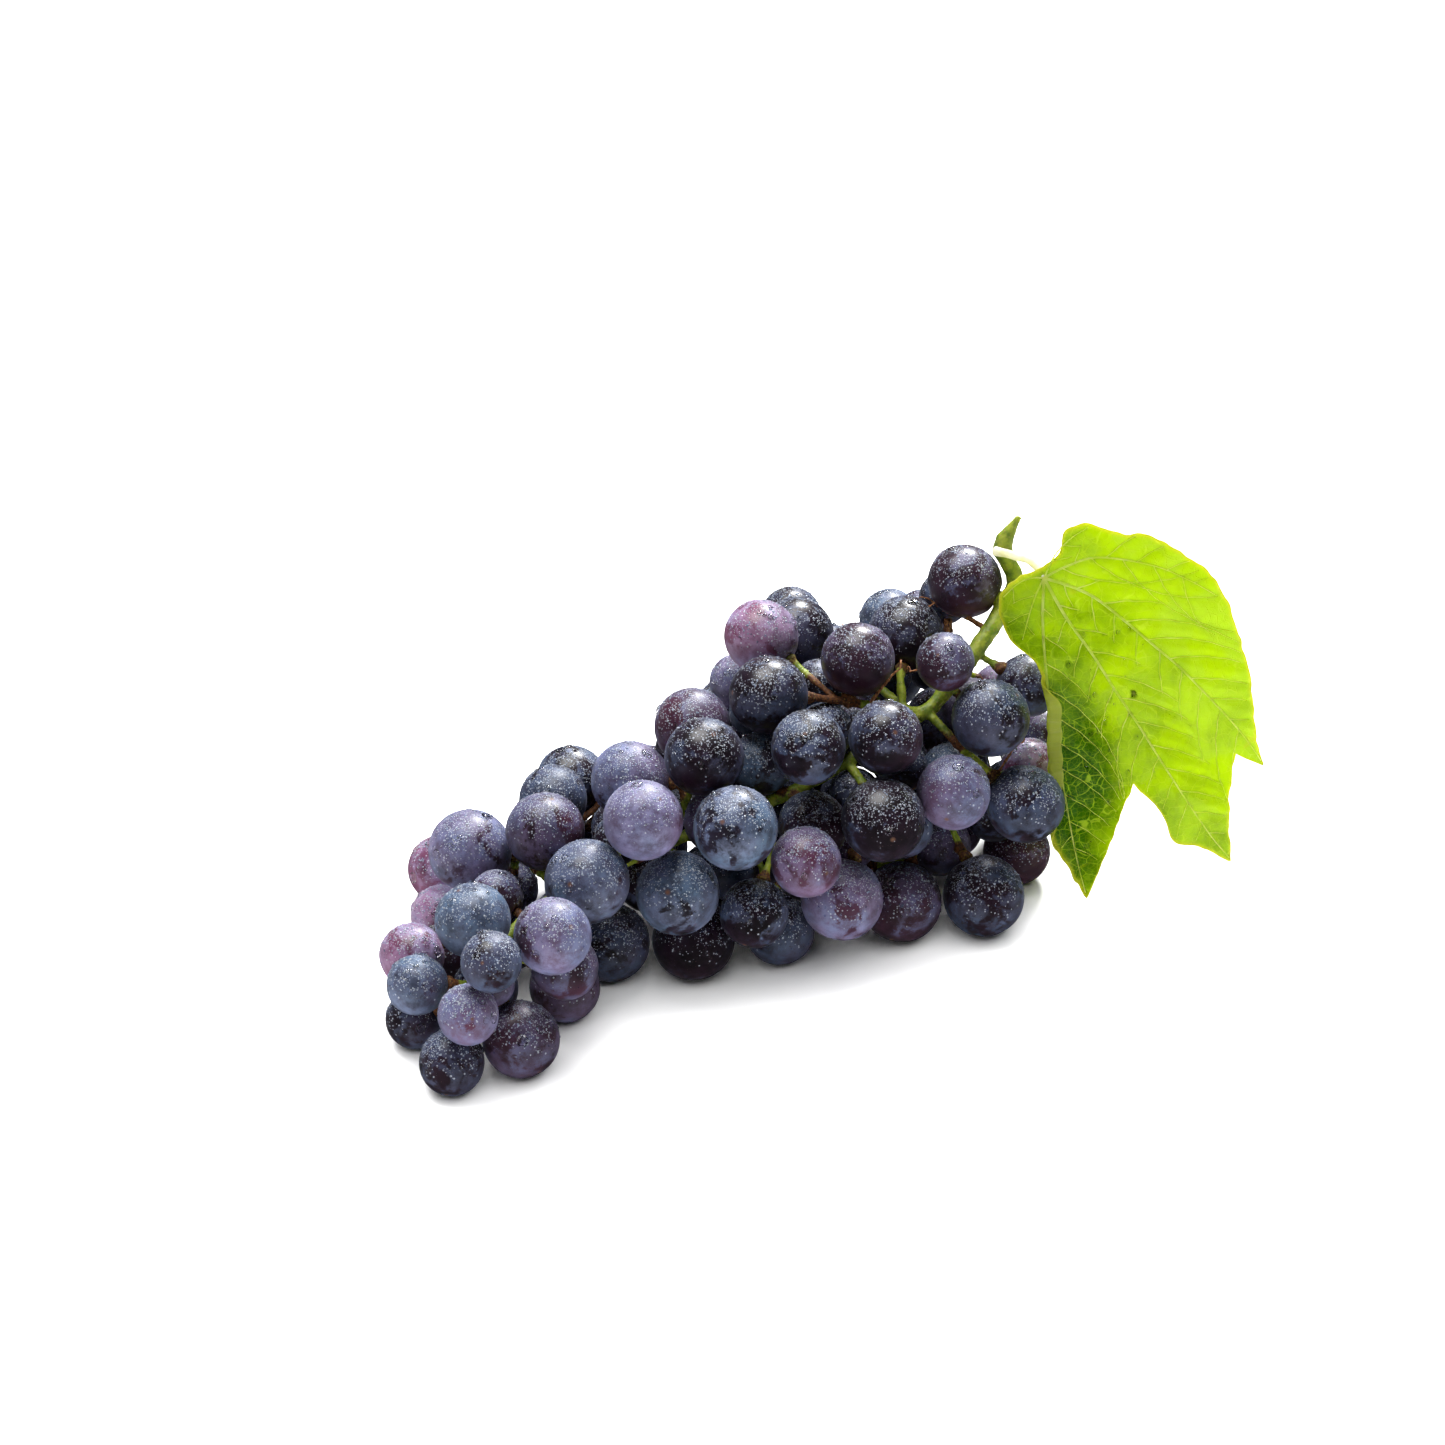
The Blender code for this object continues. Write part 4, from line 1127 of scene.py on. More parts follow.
@dataclass
class Dew:
    """Drops of water on the berries: a fine mist of them and a few large ones."""

    fine_per_berry: int = 230
    large_per_berry: int = 6
    leaf_drops: int = 60
    fine_radii: tuple[float, float] = (0.12, 0.34)
    large_radii: tuple[float, float] = (0.6, 1.45)
    lowest: float = -0.45            # how far down the berries dew has settled
    groups: int = 5                  # pieces that the mist is kept in
    seed: int = 11

    def cap(self, sides: int, rings: int, tall: float) -> Surface:
        """A drop of radius 1 on a flat base: height = tall cos(a), radius = sin(a)."""
        angle = np.linspace(0.5 * np.pi, 0.0, rings + 1)[:-1]
        turn = np.linspace(0.0, 2 * np.pi, sides, endpoint=False)
        radius = np.sin(angle)[:, None]
        corners = np.stack([radius * np.cos(turn), radius * np.sin(turn),
                            tall * np.cos(angle)[:, None] + 0.0 * turn], axis=-1)
        corners = np.vstack([corners.reshape(-1, 3), [0.0, 0.0, tall], [0.0, 0.0, -0.12]])
        top = rings * sides
        faces = ring_faces(rings, sides)
        faces += fan_faces(top, (rings - 1) * sides, sides, flip=False)
        faces += fan_faces(top + 1, 0, sides, flip=True)
        return Surface(corners, faces)

    def spots(self, berry: Berry, others: np.ndarray, radii: np.ndarray, count: int,
              rng: np.random.Generator) -> np.ndarray:
        """Unit directions on one berry where drops sit: more of them the higher up."""
        directions = unit(rng.normal(size=(count * 4, 3)))
        up = directions[:, 2]
        likely = smooth_step(self.lowest, 0.95, up) ** 2.0
        directions = directions[rng.random(len(directions)) < likely]
        directions = directions[directions @ berry.stalk < 0.9]
        outer = berry.centre + directions * (berry.radius + 0.6)
        gap = np.linalg.norm(outer[:, None] - others[None], axis=2) - radii
        return directions[gap.min(axis=1) > 0.6][:count]

    def drops(self, middles: np.ndarray, facing: np.ndarray, radii: np.ndarray,
              cap: Surface) -> Surface:
        """Copies of a drop, each turned to the surface that it sits on.

        Args:
            middles: Where they sit.
            facing: The surface's unit normals there.
            radii: Their radii.
            cap: The drop of radius 1 that they copy.

        Returns:
            All of them as one surface.
        """
        side, up = across(facing)
        slump = 1.0 + 0.12 * (radii / radii.max())
        shape = cap.corners
        spread = (shape[None, :, 0:1] * side[:, None, :]
                  + shape[None, :, 1:2] * up[:, None, :] * slump[:, None, None]
                  + shape[None, :, 2:3] * facing[:, None, :])
        corners = middles[:, None, :] + radii[:, None, None] * spread
        faces: list[list[int]] = []
        for number in range(len(radii)):
            start = number * len(shape)
            faces.extend([index + start for index in face] for face in cap.faces)
        return Surface(corners.reshape(-1, 3), faces)

    def sizes(self, count: int, limits: tuple[float, float],
              rng: np.random.Generator) -> np.ndarray:
        """Radii between two limits, most of them near the smaller."""
        low, high = limits
        return low + (high - low) * rng.random(count) ** 2.2

    def on_berry(self, berry: Berry, directions: np.ndarray, radii: np.ndarray,
                 cap: Surface) -> Surface:
        """Drops on a berry's skin."""
        middles = berry.centre + directions * (berry.reach(directions) - 0.02)[:, None]
        return self.drops(middles, directions, radii, cap)

    def on_leaf(self, leaf: "Leaf", cap: Surface, rng: np.random.Generator) -> Surface:
        """Drops on the leaf's upper side, most of them on its lower left lobe."""
        shares = np.column_stack([rng.normal(0.2, 0.13, self.leaf_drops * 3),
                                  rng.normal(0.4, 0.17, self.leaf_drops * 3)])
        shares = shares[leaf.inside(shares) & leaf.inside(shares + [0.03, 0.03])
                        & leaf.inside(shares - [0.05, 0.02])][:self.leaf_drops]
        facing = leaf.facing(shares)
        middles = leaf.place(shares) + facing * (leaf.thickness / 2 - 0.02)
        return self.drops(middles, facing, self.sizes(len(shares), (0.2, 0.85), rng), cap)

    def build(self, bunch: Bunch, leaf: "Leaf", mist: bpy.types.Material,
              water: bpy.types.Material) -> None:
        """Makes the dew of the bunch, in pieces that each hold part of the berries.

        Args:
            bunch: The berries that it settles on.
            leaf: The leaf, which has some drops too.
            mist: Material of the fine drops.
            water: Material of the large ones.
        """
        rng = np.random.default_rng(self.seed)
        fine_cap = self.cap(6, 2, 0.62)
        large_cap = self.cap(14, 4, 0.42)
        groups: dict[int, list[Surface]] = {number: [] for number in range(self.groups)}
        large = [self.on_leaf(leaf, large_cap, rng)]
        berries = bunch.everyone()
        middles = np.array([berry.centre for berry in berries])
        radii = np.array([berry.radius for berry in berries])
        edges = np.quantile(middles[:, 0], np.arange(1, self.groups) / self.groups)
        for number, berry in enumerate(berries):
            others = np.delete(middles, number, axis=0)
            other_radii = np.delete(radii, number)
            spots = self.spots(berry, others, other_radii, self.fine_per_berry, rng)
            if len(spots) == 0:
                continue
            sizes = self.sizes(len(spots), self.fine_radii, rng)
            group = groups[int(np.searchsorted(edges, berry.centre[0]))]
            drops = self.on_berry(berry, spots, sizes, fine_cap)
            upward = np.repeat(spots[:, 2], len(fine_cap.corners))
            group.append(Surface(drops.corners, drops.faces,
                                 {"upward": np.clip(upward, 0.0, 1.0)}))
            spots = self.spots(berry, others, other_radii, self.large_per_berry, rng)
            if len(spots) == 0:
                continue
            sizes = self.sizes(len(spots), self.large_radii, rng)
            large.append(self.on_berry(berry, spots, sizes, large_cap))
        for number, parts in groups.items():
            make_piece(f"dew_{number + 1}", Surface.joined(parts), [mist])
        make_piece("dew_drops", Surface.joined(large), [water])
        log.info("dew on %d berries", len(berries))


# --- Stem ------------------------------------------------------------------------------

@dataclass
class Stem:
    """The stem with its branches and stalks, warty where the stalks meet the berries."""

    voxel: float = 0.45
    smoothing: int = 9
    swell: float = 0.2               # makes good what smoothing takes off
    lumps: float = 0.28
    warts: float = 0.3
    collar_radius: float = 1.75

    def collar(self, berry: Berry) -> Surface:
        """The ring at the end of a stalk, let into the berry's dimple.

        radius(h) follows a round lip: r (0.6 + 0.4 sin(pi (h + 1) / 2.4)).
        """
        height = np.linspace(-0.95, 1.35, 8)
        foot = berry.centre + berry.stalk * (berry.radius + 0.1)
        path = foot + height[:, None] * berry.stalk
        radii = self.collar_radius * (0.6 + 0.4 * np.sin(np.pi * (height + 1.0) / 2.4))
        return tube(path, radii, 16)

    def inner_stalk(self, berry: Berry, branch: np.ndarray) -> Surface:
        """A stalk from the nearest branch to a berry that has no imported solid."""
        away = np.linalg.norm(branch - berry.centre, axis=1)
        root = branch[np.argmin(away)]
        end = berry.centre + berry.stalk * (berry.radius - 0.3)
        start = root + berry.stalk * 0.6
        path = curve_through([start, (start + end) / 2 + 0.2 * berry.up, end], 0.6)
        return tube(path, np.linspace(0.8, 1.1, len(path)), 10)

    def build(self, bunch: Bunch, material: bpy.types.Material) -> bpy.types.Object:
        """Makes the stem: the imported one, its collars and inner stalks, skinned as one.

        Args:
            bunch: The berries that it carries.
            material: The stem's material.

        Returns:
            The stem's object.
        """
        copy = bpy.data.objects.new("stem_rough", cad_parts["stem"].data.copy())
        bpy.context.scene.collection.objects.link(copy)
        merge_corners(copy)
        extras = [self.collar(berry) for berry in bunch.berries]
        extras += [self.inner_stalk(berry, bunch.stem) for berry in bunch.inner]
        extra = raw_object("stem_extras", Surface.joined(extras))
        join_objects(copy, extra)
        remesh = copy.modifiers.new("skin", "REMESH")
        remesh.mode = "VOXEL"
        remesh.voxel_size = self.voxel * MM
        smooth = copy.modifiers.new("soften", "SMOOTH")
        smooth.factor = 0.5
        smooth.iterations = self.smoothing
        corners, normals, faces = finished_arrays(copy)
        bpy.data.objects.remove(copy)

        ends = np.array([b.centre + b.stalk * (b.radius + 0.6) for b in bunch.everyone()])
        to_end, _ = nearest(corners, ends)
        near_collar = smooth_step(3.6, 0.8, to_end)
        coarse = lattice_noise(corners, 2.4, 3) - 0.5
        fine = lattice_noise(corners, 0.9, 4)
        wart = smooth_step(0.55, 0.8, fine) * (0.35 + 0.65 * near_collar)
        push = self.swell + self.lumps * coarse + self.warts * wart
        corners = corners + normals * push[:, None]
        for berry in bunch.everyone():
            away = corners - berry.centre
            reach = np.linalg.norm(away, axis=1)
            aside = reach * np.sqrt(1 - np.clip(away @ berry.stalk / reach, -1, 1) ** 2)
            sunk = (reach < berry.radius + 0.05) & (aside > 2.4)
            corners[sunk] += (unit(away[sunk])
                              * (berry.radius + 0.05 - reach[sunk])[:, None])
        corners[:, 2] = np.maximum(corners[:, 2], 0.05)
        patchy = lattice_noise(corners, 16.0, 5)
        age = np.clip(0.75 * smooth_step(0.5, 0.72, patchy) + 0.75 * near_collar, 0, 1)
        top = corners[:, 2].max()
        age *= 1.0 - 0.8 * smooth_step(top - 34.0, top - 20.0, corners[:, 2])
        surface = Surface(corners, faces, {"age": age, "wart": wart * near_collar})
        piece = make_piece("green_stem", surface, [material], "stem")
        log.info("stem with %d faces", len(faces))
        return piece


def raw_object(name: str, surface: Surface) -> bpy.types.Object:
    """A bare mesh object, for work in between."""
    mesh = bpy.data.meshes.new(name)
    mesh.from_pydata((surface.corners * MM).tolist(), [], surface.faces)
    thing = bpy.data.objects.new(name, mesh)
    bpy.context.scene.collection.objects.link(thing)
    return thing


def merge_corners(thing: bpy.types.Object) -> None:
    """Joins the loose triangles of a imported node's copy."""
    weld = thing.modifiers.new("merge", "WELD")
    weld.merge_threshold = 0.005 * MM
    apply_modifiers(thing)


def apply_modifiers(thing: bpy.types.Object) -> None:
    """Makes an object's modifiers part of its mesh."""
    bpy.context.view_layer.update()
    graph = bpy.context.evaluated_depsgraph_get()
    mesh = bpy.data.meshes.new_from_object(thing.evaluated_get(graph))
    thing.modifiers.clear()
    thing.data = mesh


def join_objects(target: bpy.types.Object, other: bpy.types.Object) -> None:
    """Adds one object's mesh to another's."""
    with bpy.context.temp_override(active_object=target, selected_objects=[target, other],
                                   selected_editable_objects=[target, other]):
        bpy.ops.object.join()


def finished_arrays(thing: bpy.types.Object) -> tuple[np.ndarray, np.ndarray, list]:
    """Corners in millimetres, their normals, and the faces, with modifiers applied."""
    apply_modifiers(thing)
    mesh = thing.data
    corners = np.empty(len(mesh.vertices) * 3, np.float32)
    mesh.vertices.foreach_get("co", corners)
    normals = np.empty(len(mesh.vertices) * 3, np.float32)
    mesh.vertices.foreach_get("normal", normals)
    faces = [list(polygon.vertices) for polygon in mesh.polygons]
    return (corners.reshape(-1, 3).astype(float) / MM,
            normals.reshape(-1, 3).astype(float), faces)


# --- Dried scraps ----------------------------------------------------------------------

@dataclass(frozen=True)
class Scrap:
    """A dried stub of a stalk that curls away from the stem."""

    near: str                                   # the berry that it is placed from
    offset: tuple[float, float, float]          # where it starts to curl
    heading: tuple[float, float, float]
    length: float
    turns: float                                # how far round it curls
    radius: float = 0.5


SCRAPS: tuple[Scrap, ...] = (
    Scrap("crown_2", (8.0, 4.0, 6.5), (0.4, -0.5, 0.9), 8.0, 0.7, 0.55),
    Scrap("crown_2", (9.5, 4.0, 5.0), (0.9, -0.4, 0.5), 7.0, -0.8, 0.5),
    Scrap("crown_2", (7.0, 4.0, 7.5), (-0.3, -0.7, 0.8), 6.0, 0.5, 0.42),
    Scrap("crown_2", (10.5, 4.0, 2.5), (0.6, -0.8, 0.0), 6.5, 1.0, 0.48),
    Scrap("crown_3", (-6.5, 2.0, -5.0), (-1.0, -0.2, 0.1), 9.0, 0.35, 0.55),
    Scrap("crown_3", (-9.5, 1.0, -5.0), (-0.6, -0.3, 0.8), 5.5, -0.6, 0.42),
    Scrap("front_right_2", (3.9, 14.5, 11.6), (0.1, -0.4, 1.0), 4.0, 0.6, 0.45),
    Scrap("front_right_2", (6.0, 14.0, 11.0), (0.5, -0.5, 0.8), 3.0, -0.8, 0.38),
    Scrap("right_2", (9.0, 4.0, -8.0), (0.2, -0.9, -0.2), 5.0, 0.5, 0.42),
    Scrap("middle_top_2", (9.0, 3.0, -3.0), (0.3, -0.6, 0.7), 4.0, 0.7, 0.4),
    Scrap("left_back_1", (12.0, 2.0, -3.0), (0.6, -0.6, 0.5), 3.5, 0.8, 0.4),
)


@dataclass
class Scraps:
    """The dried stubs, each a thin ragged tube that curls."""

    scraps: tuple[Scrap, ...] = SCRAPS
    step: float = 0.3

    def stub(self, scrap: Scrap, number: int, bunch: Bunch) -> Surface:
        """One stub.

        It runs from the stem to its place, then its heading turns from h towards n:
        p(s) = place + sum of (cos(c) h + sin(c) n) ds, with c = 2 pi turns (s / length)^1.5.
        """
        host = next(berry for berry in bunch.berries if berry.name == scrap.near)
        wanted = host.centre + np.array(scrap.offset)
        root = bunch.stem[nearest(wanted[None], bunch.stem)[1][0]]
        heading = unit(np.array(scrap.heading))
        aside = across(heading[None])[number % 2][0]
        share = np.linspace(0.0, 1.0, int(scrap.length / self.step))
        angle = 2 * np.pi * scrap.turns * share ** 1.5
        steps = np.cos(angle)[:, None] * heading + np.sin(angle)[:, None] * aside
        lead = np.linspace(0.0, 1.0, max(3, int(np.linalg.norm(wanted - root) / self.step)))
        sag = np.sin(np.pi * lead)[:, None] * [0.0, 0.0, 0.8]
        lead = root + (wanted - root) * lead[:, None] + sag
        path = np.vstack([lead[:-1], wanted + np.cumsum(steps, axis=0) * self.step])
        share = np.linspace(0.0, 1.0, len(path))
        wobble = lattice_noise(path, 1.3, 70 + number) - 0.5
        path = path + 0.5 * wobble[:, None] * np.cross(heading, aside)
        ragged = lattice_noise(path, 0.7, 90 + number)
        radii = scrap.radius * (1.15 - 0.75 * share) * (0.65 + 0.7 * ragged)
        return tube(path, radii, 8, 0.6)

    def build(self, bunch: Bunch, material: bpy.types.Material) -> None:
        """Makes them all as one piece."""
        stubs = [self.stub(scrap, number, bunch)
                 for number, scrap in enumerate(self.scraps)]
        make_piece("dried_stubs", Surface.joined(stubs), [material])
        log.info("%d dried stubs", len(stubs))


# --- Leaf ------------------------------------------------------------------------------

@dataclass
class Leaf:
    """The leaf: a thin quilted blade with ribs, on a pale stalk."""

    # The blade's outline, clockwise from the notch at its stalk, as shares of its width to
    # the right and of its length down. Corners marked True are sharp.
    outline: tuple[tuple[float, float, bool], ...] = (
        (0.00, -0.03, True), (0.05, -0.065, False), (0.07, -0.12, False),
        (0.13, -0.145, False), (0.20, -0.135, False), (0.28, -0.115, False),
        (0.37, -0.115, False), (0.48, -0.07, False), (0.56, -0.03, False),
        (0.62, 0.02, False), (0.67, 0.085, False), (0.73, 0.20, False),
        (0.765, 0.30, False), (0.785, 0.40, False), (0.83, 0.495, True),
        (0.72, 0.46, True), (0.71, 0.54, False), (0.715, 0.66, False),
        (0.73, 0.76, True), (0.60, 0.715, False), (0.51, 0.705, False),
        (0.45, 0.62, False), (0.34, 0.545, True), (0.30, 0.61, False),
        (0.26, 0.70, False), (0.22, 0.77, False), (0.18, 0.85, True),
        (0.13, 0.79, False), (0.07, 0.72, False), (0.045, 0.66, False),
        (0.04, 0.55, False), (0.03, 0.42, False), (0.02, 0.31, False),
        (-0.02, 0.22, False), (-0.11, 0.16, False), (-0.155, 0.09, False),
        (-0.15, 0.04, False), (-0.10, 0.00, False), (-0.04, -0.015, False))
    # Main ribs, from the stalk out, in the same shares, and their width at the stalk.
    ribs: tuple[tuple[float, tuple[tuple[float, float], ...]], ...] = (
        (0.95, ((0, 0), (0.0, 0.12), (0.02, 0.27), (0.055, 0.42), (0.095, 0.57),
                (0.135, 0.72), (0.176, 0.83))),
        (1.05, ((0, 0), (0.08, 0.10), (0.18, 0.20), (0.267, 0.295), (0.346, 0.377),
                (0.44, 0.48), (0.54, 0.585), (0.65, 0.69), (0.72, 0.745))),
        (1.05, ((0, 0), (0.09, 0.02), (0.18, 0.05), (0.287, 0.11), (0.395, 0.175),
                (0.49, 0.23), (0.58, 0.293), (0.66, 0.35), (0.75, 0.42), (0.815, 0.48))),
        (0.8, ((0, 0), (0.08, -0.03), (0.19, -0.054), (0.375, -0.035), (0.5, 0.0),
               (0.61, 0.045))),
        (0.55, ((0, 0), (0.04, -0.06), (0.09, -0.1), (0.15, -0.13))),
        (0.55, ((0, 0), (-0.04, 0.0), (-0.09, 0.015), (-0.14, 0.05))),
        (0.6, ((0, 0), (-0.03, 0.05), (-0.05, 0.10), (-0.07, 0.16))))
    heart: tuple[float, float] = (0.33, 0.30)
    tip_share: float = 0.83
    lean: float = 0.25
    twist: float = 0.93
    cup: float = 5.0
    lift: float = 0.6
    thickness: float = 0.34
    around: int = 480
    rings: int = 62
    margin: float = 0.55             # width of the rolled margin
    curl: float = 5.0                # width of the part that is curled over on the left
    quilting: float = 0.6
    waves: float = 1.6
    plan: float = 100.0              # millimetres to one unit of the leaf's map

    def __post_init__(self) -> None:
        """Works out the blade's size and its stalk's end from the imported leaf."""
        shares = np.array([row[:2] for row in self.outline])
        low, high = (np.array(corner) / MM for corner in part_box("leaf"))
        wide = shares[:, 0].max() - shares[:, 0].min()
        self.width = 0.994 * (high[0] - low[0]) / wide
        self.joint = np.zeros(3)
        self.length = 100.0
        for _ in range(12):
            tall = np.ptp(self.hang(shares)[:, 2])
            self.length *= (high[2] - low[2] - 0.7) / tall
        places = self.hang(shares)
        self.joint[0] = (low[0] + high[0]) / 2 - (places[:, 0].max() + places[:, 0].min()) / 2
        self.joint[2] = (low[2] + high[2]) / 2 - (places[:, 2].max() + places[:, 2].min()) / 2
        self.joint[1] = low[1] + 0.3 - places[:, 1].min()
        self.veins = self.vein_lines()
        self.vein_points = np.vstack([line for _, line in self.veins])

    def hang(self, shares: np.ndarray) -> np.ndarray:
        """Places on the smooth hanging blade, in millimetres.

        right = W sx; down = L sy; forward = lean down (1 - twist a) + cup sin(pi a) sy,
        with a = sx / tip share kept in 0..1; place = joint + (right, -forward,
        -down + lift forward).
        """
        right = shares[:, 0] * self.width
        down = shares[:, 1] * self.length
        share = np.clip(shares[:, 0] / self.tip_share, 0.0, 1.0)
        forward = (self.lean * down * (1.0 - self.twist * share)
                   + self.cup * np.sin(np.pi * share) * shares[:, 1])
        return self.joint + np.column_stack([right, -forward, -down + self.lift * forward])

    def facing(self, shares: np.ndarray) -> np.ndarray:
        """The smooth blade's normal, on its upper side, from small steps both ways."""
        step = 0.004
        right = self.hang(shares + [step, 0.0]) - self.hang(shares - [step, 0.0])
        down = self.hang(shares + [0.0, step]) - self.hang(shares - [0.0, step])
        return unit(np.cross(down, right))

    def flat(self, shares: np.ndarray) -> np.ndarray:
        """The same places laid flat, in millimetres."""
        return shares * [self.width, self.length]

    def relief(self, shares: np.ndarray) -> np.ndarray:
        """How far the blade stands out of its smooth shape, in millimetres.

        relief = waves (noise - 0.5) + quilting (1 - e^(-(d/2.4)^2)), d the distance to the
        nearest vein.
        """
        spread = np.column_stack([self.flat(shares), np.zeros(len(shares))])
        wave = lattice_noise(spread, 17.0, 21) - 0.5
        small = lattice_noise(spread, 5.5, 22) - 0.5
        away, _ = nearest(self.flat(shares), self.vein_points)
        quilt = 1.0 - np.exp(-(away / 2.4) ** 2)
        return self.waves * wave + 0.25 * small + self.quilting * quilt

    def place(self, shares: np.ndarray) -> np.ndarray:
        """Places on the quilted blade."""
        return self.hang(shares) + self.facing(shares) * self.relief(shares)[:, None]

    def edge_line(self) -> np.ndarray:
        """The outline as many points: Hermite curves, with sharp corners kept.

        p(t) = h00 b + h10 m_b + h01 c + h11 m_c, m = 0.5 (next - last), 0 at a sharp corner.
        """
        rows = np.array([row[:2] for row in self.outline])
        soft = np.array([0.0 if row[2] else 1.0 for row in self.outline])[:, None]
        slope = 0.5 * (np.roll(rows, -1, axis=0) - np.roll(rows, 1, axis=0)) * soft
        t = np.linspace(0.0, 1.0, 30, endpoint=False)[None, :, None]
        here, there = rows[:, None], np.roll(rows, -1, axis=0)[:, None]
        leave, arrive = slope[:, None], np.roll(slope, -1, axis=0)[:, None]
        line = ((2 * t ** 3 - 3 * t ** 2 + 1) * here + (t ** 3 - 2 * t ** 2 + t) * leave
                + (3 * t ** 2 - 2 * t ** 3) * there + (t ** 3 - t ** 2) * arrive)
        line = line.reshape(-1, 2)
        closed = np.vstack([line, line[:1]])
        gaps = np.linalg.norm(np.diff(self.flat(closed), axis=0), axis=1)
        along = np.concatenate([[0.0], np.cumsum(gaps)])
        wanted = np.linspace(0.0, along[-1], self.around, endpoint=False)
        return np.column_stack([np.interp(wanted, along, closed[:, k]) for k in (0, 1)])

    def inside(self, shares: np.ndarray) -> np.ndarray:
        """Whether places are on the blade: an odd number of crossings to their right."""
        edge = self.edge_line()
        after = np.roll(edge, -1, axis=0)
        x, y = shares[:, 0:1], shares[:, 1:2]
        spans = (edge[None, :, 1] > y) != (after[None, :, 1] > y)
        rise = after[:, 1] - edge[:, 1]
        rise = np.where(np.abs(rise) < 1e-12, 1e-12, rise)
        crossing = edge[:, 0] + (y - edge[None, :, 1]) * (after[:, 0] - edge[:, 0]) / rise
        return (spans & (x < crossing)).sum(axis=1) % 2 == 1

    def vein_lines(self) -> list[tuple[float, np.ndarray]]:
        """Every rib and side vein as (width at its root, flat points in millimetres)."""
        scale = np.array([self.width, self.length])
        mains = [(wide, curve_through(np.array(points) * scale, 0.9))
                 for wide, points in self.ribs]
        ribs_flat = [line for _, line in mains]
        sides = []
        for number, (wide, line) in enumerate(mains):
            others = np.vstack([row for k, row in enumerate(ribs_flat) if k != number])
            length = len(line)
            spacing = 9 if wide > 0.7 else 6
            for count, start in enumerate(range(6, length - 4, spacing)):
                for hand in (1.0, -1.0):
                    origin = min(length - 3, start + (4 if hand < 0 else 0))
                    side = self.side_vein(line, origin, hand, others, count)
                    if len(side) > 4:
                        sides.append((0.5 * wide * (1.0 - 0.45 * origin / length), side))
        return mains + sides

    def side_vein(self, line: np.ndarray, start: int, hand: float, others: np.ndarray,
                  count: int) -> np.ndarray:
        """A side vein, walked out from a rib until it nears another or the margin.

        Its heading starts 52 degrees off the rib's and bends back to it as it goes.
        """
        heading = unit(line[min(start + 2, len(line) - 1)] - line[start - 1])
        share = 0.85 + 0.3 * math.sin(2.7 * start + hand)
        angle = math.radians(52.0) * hand
        point = line[start]
        points = [point]
        bend = -math.radians(1.25) * hand
        scale = np.array([self.width, self.length])
        for step in range(48):
            turn = angle + bend * step + 0.1 * math.sin(0.9 * step + count)
            ahead = np.array([heading[0] * math.cos(turn) - heading[1] * math.sin(turn),
                              heading[0] * math.sin(turn) + heading[1] * math.cos(turn)])
            point = point + 0.9 * ahead
            gap = np.linalg.norm(others - point, axis=1).min()
            own = np.linalg.norm(line - point, axis=1).min()
            if gap < 1.2 or gap < share * own:
                break
            if not self.inside((point + 1.2 * ahead)[None] / scale)[0]:
                break
            points.append(point)
        return np.array(points)

    def blade(self) -> Surface:
        """The blade as rings from its heart to its margin, with the margin rolled.

        ring(s, t) = heart + (edge(t) - heart) s; past the margin the sheet goes on round an
        arc of radius r and then straight on by f: out = r sin(a) + f cos(a), forward =
        r (1 - cos(a)) + f sin(a), with a up to pi, so that on the left it folds over.
        """
        heart = np.array(self.heart)
        edge = self.edge_line()
        wiggle = lattice_noise(np.column_stack([self.flat(edge), np.zeros(len(edge))]),
                               2.6, 31) - 0.5
        inward = unit(heart - edge)
        edge = edge + inward * (0.011 * (wiggle + 0.5))[:, None]
        shares = np.linspace(0.0, 1.0, self.rings + 1)[1:]
        plan = (heart + (edge - heart)[None] * shares[:, None, None]).reshape(-1, 2)
        corners = self.place(np.vstack([plan, heart]))
        light = self.painted_light(np.vstack([plan, heart]))
        body, middle = corners[:-1], corners[-1]
        rings = body.reshape(self.rings, self.around, 3)

        last, before = rings[-1], rings[-2]
        normal = self.facing(edge)
        after = np.roll(last, -1, axis=0)
        ahead = unit(after - np.roll(last, 1, axis=0))
        outward = np.cross(ahead, normal)
        outward *= np.sign((outward * (last - before)).sum(axis=1, keepdims=True))
        left = smooth_step(0.22, 0.34, edge[:, 1]) * smooth_step(0.74, 0.6, edge[:, 1])
        left = left * (edge[:, 0] < 0.12)
        width = self.margin + (self.curl - self.margin) * left
        span = np.linspace(0.0, 1.0, 14)[1:, None] * width[None]
        radius = 0.7
        angle = np.minimum(span / radius, 0.97 * np.pi) * (0.45 + 0.55 * left)[None]
        flap = np.maximum(span - 0.97 * np.pi * radius, 0.0)
        out = radius * np.sin(angle) + flap * np.cos(angle)
        forward = radius * (1.0 - np.cos(angle)) + flap * np.sin(angle)
        roll = (last[None] + out[..., None] * outward[None]
                + forward[..., None] * normal[None])
        reach = span
        everything = np.vstack([body, roll.reshape(-1, 3), middle])
        rim_plan = np.tile(edge, (len(reach), 1))
        plans = np.vstack([plan, rim_plan, heart])
        total = self.rings + len(reach)
        faces = ring_faces(total, self.around)
        faces += fan_faces(total * self.around, 0, self.around, flip=False)
        edge_mark = np.concatenate([
            np.repeat(smooth_step(0.975, 1.0, shares), self.around),
            np.repeat(np.ones(len(reach)), self.around) * np.tile(1.0 - 0.65 * left,
                                                                 len(reach)), [0.0]])
        # On the left curl the mark is set to full light: the strip is painted lit.
        rim_light = np.maximum(light[-1 - self.around:-1], left)
        light = np.concatenate([light[:-1], np.tile(rim_light, len(reach)), light[-1:]])
        self.blade_plan = plans
        return Surface(everything, faces, {"edge": edge_mark, "light": light})

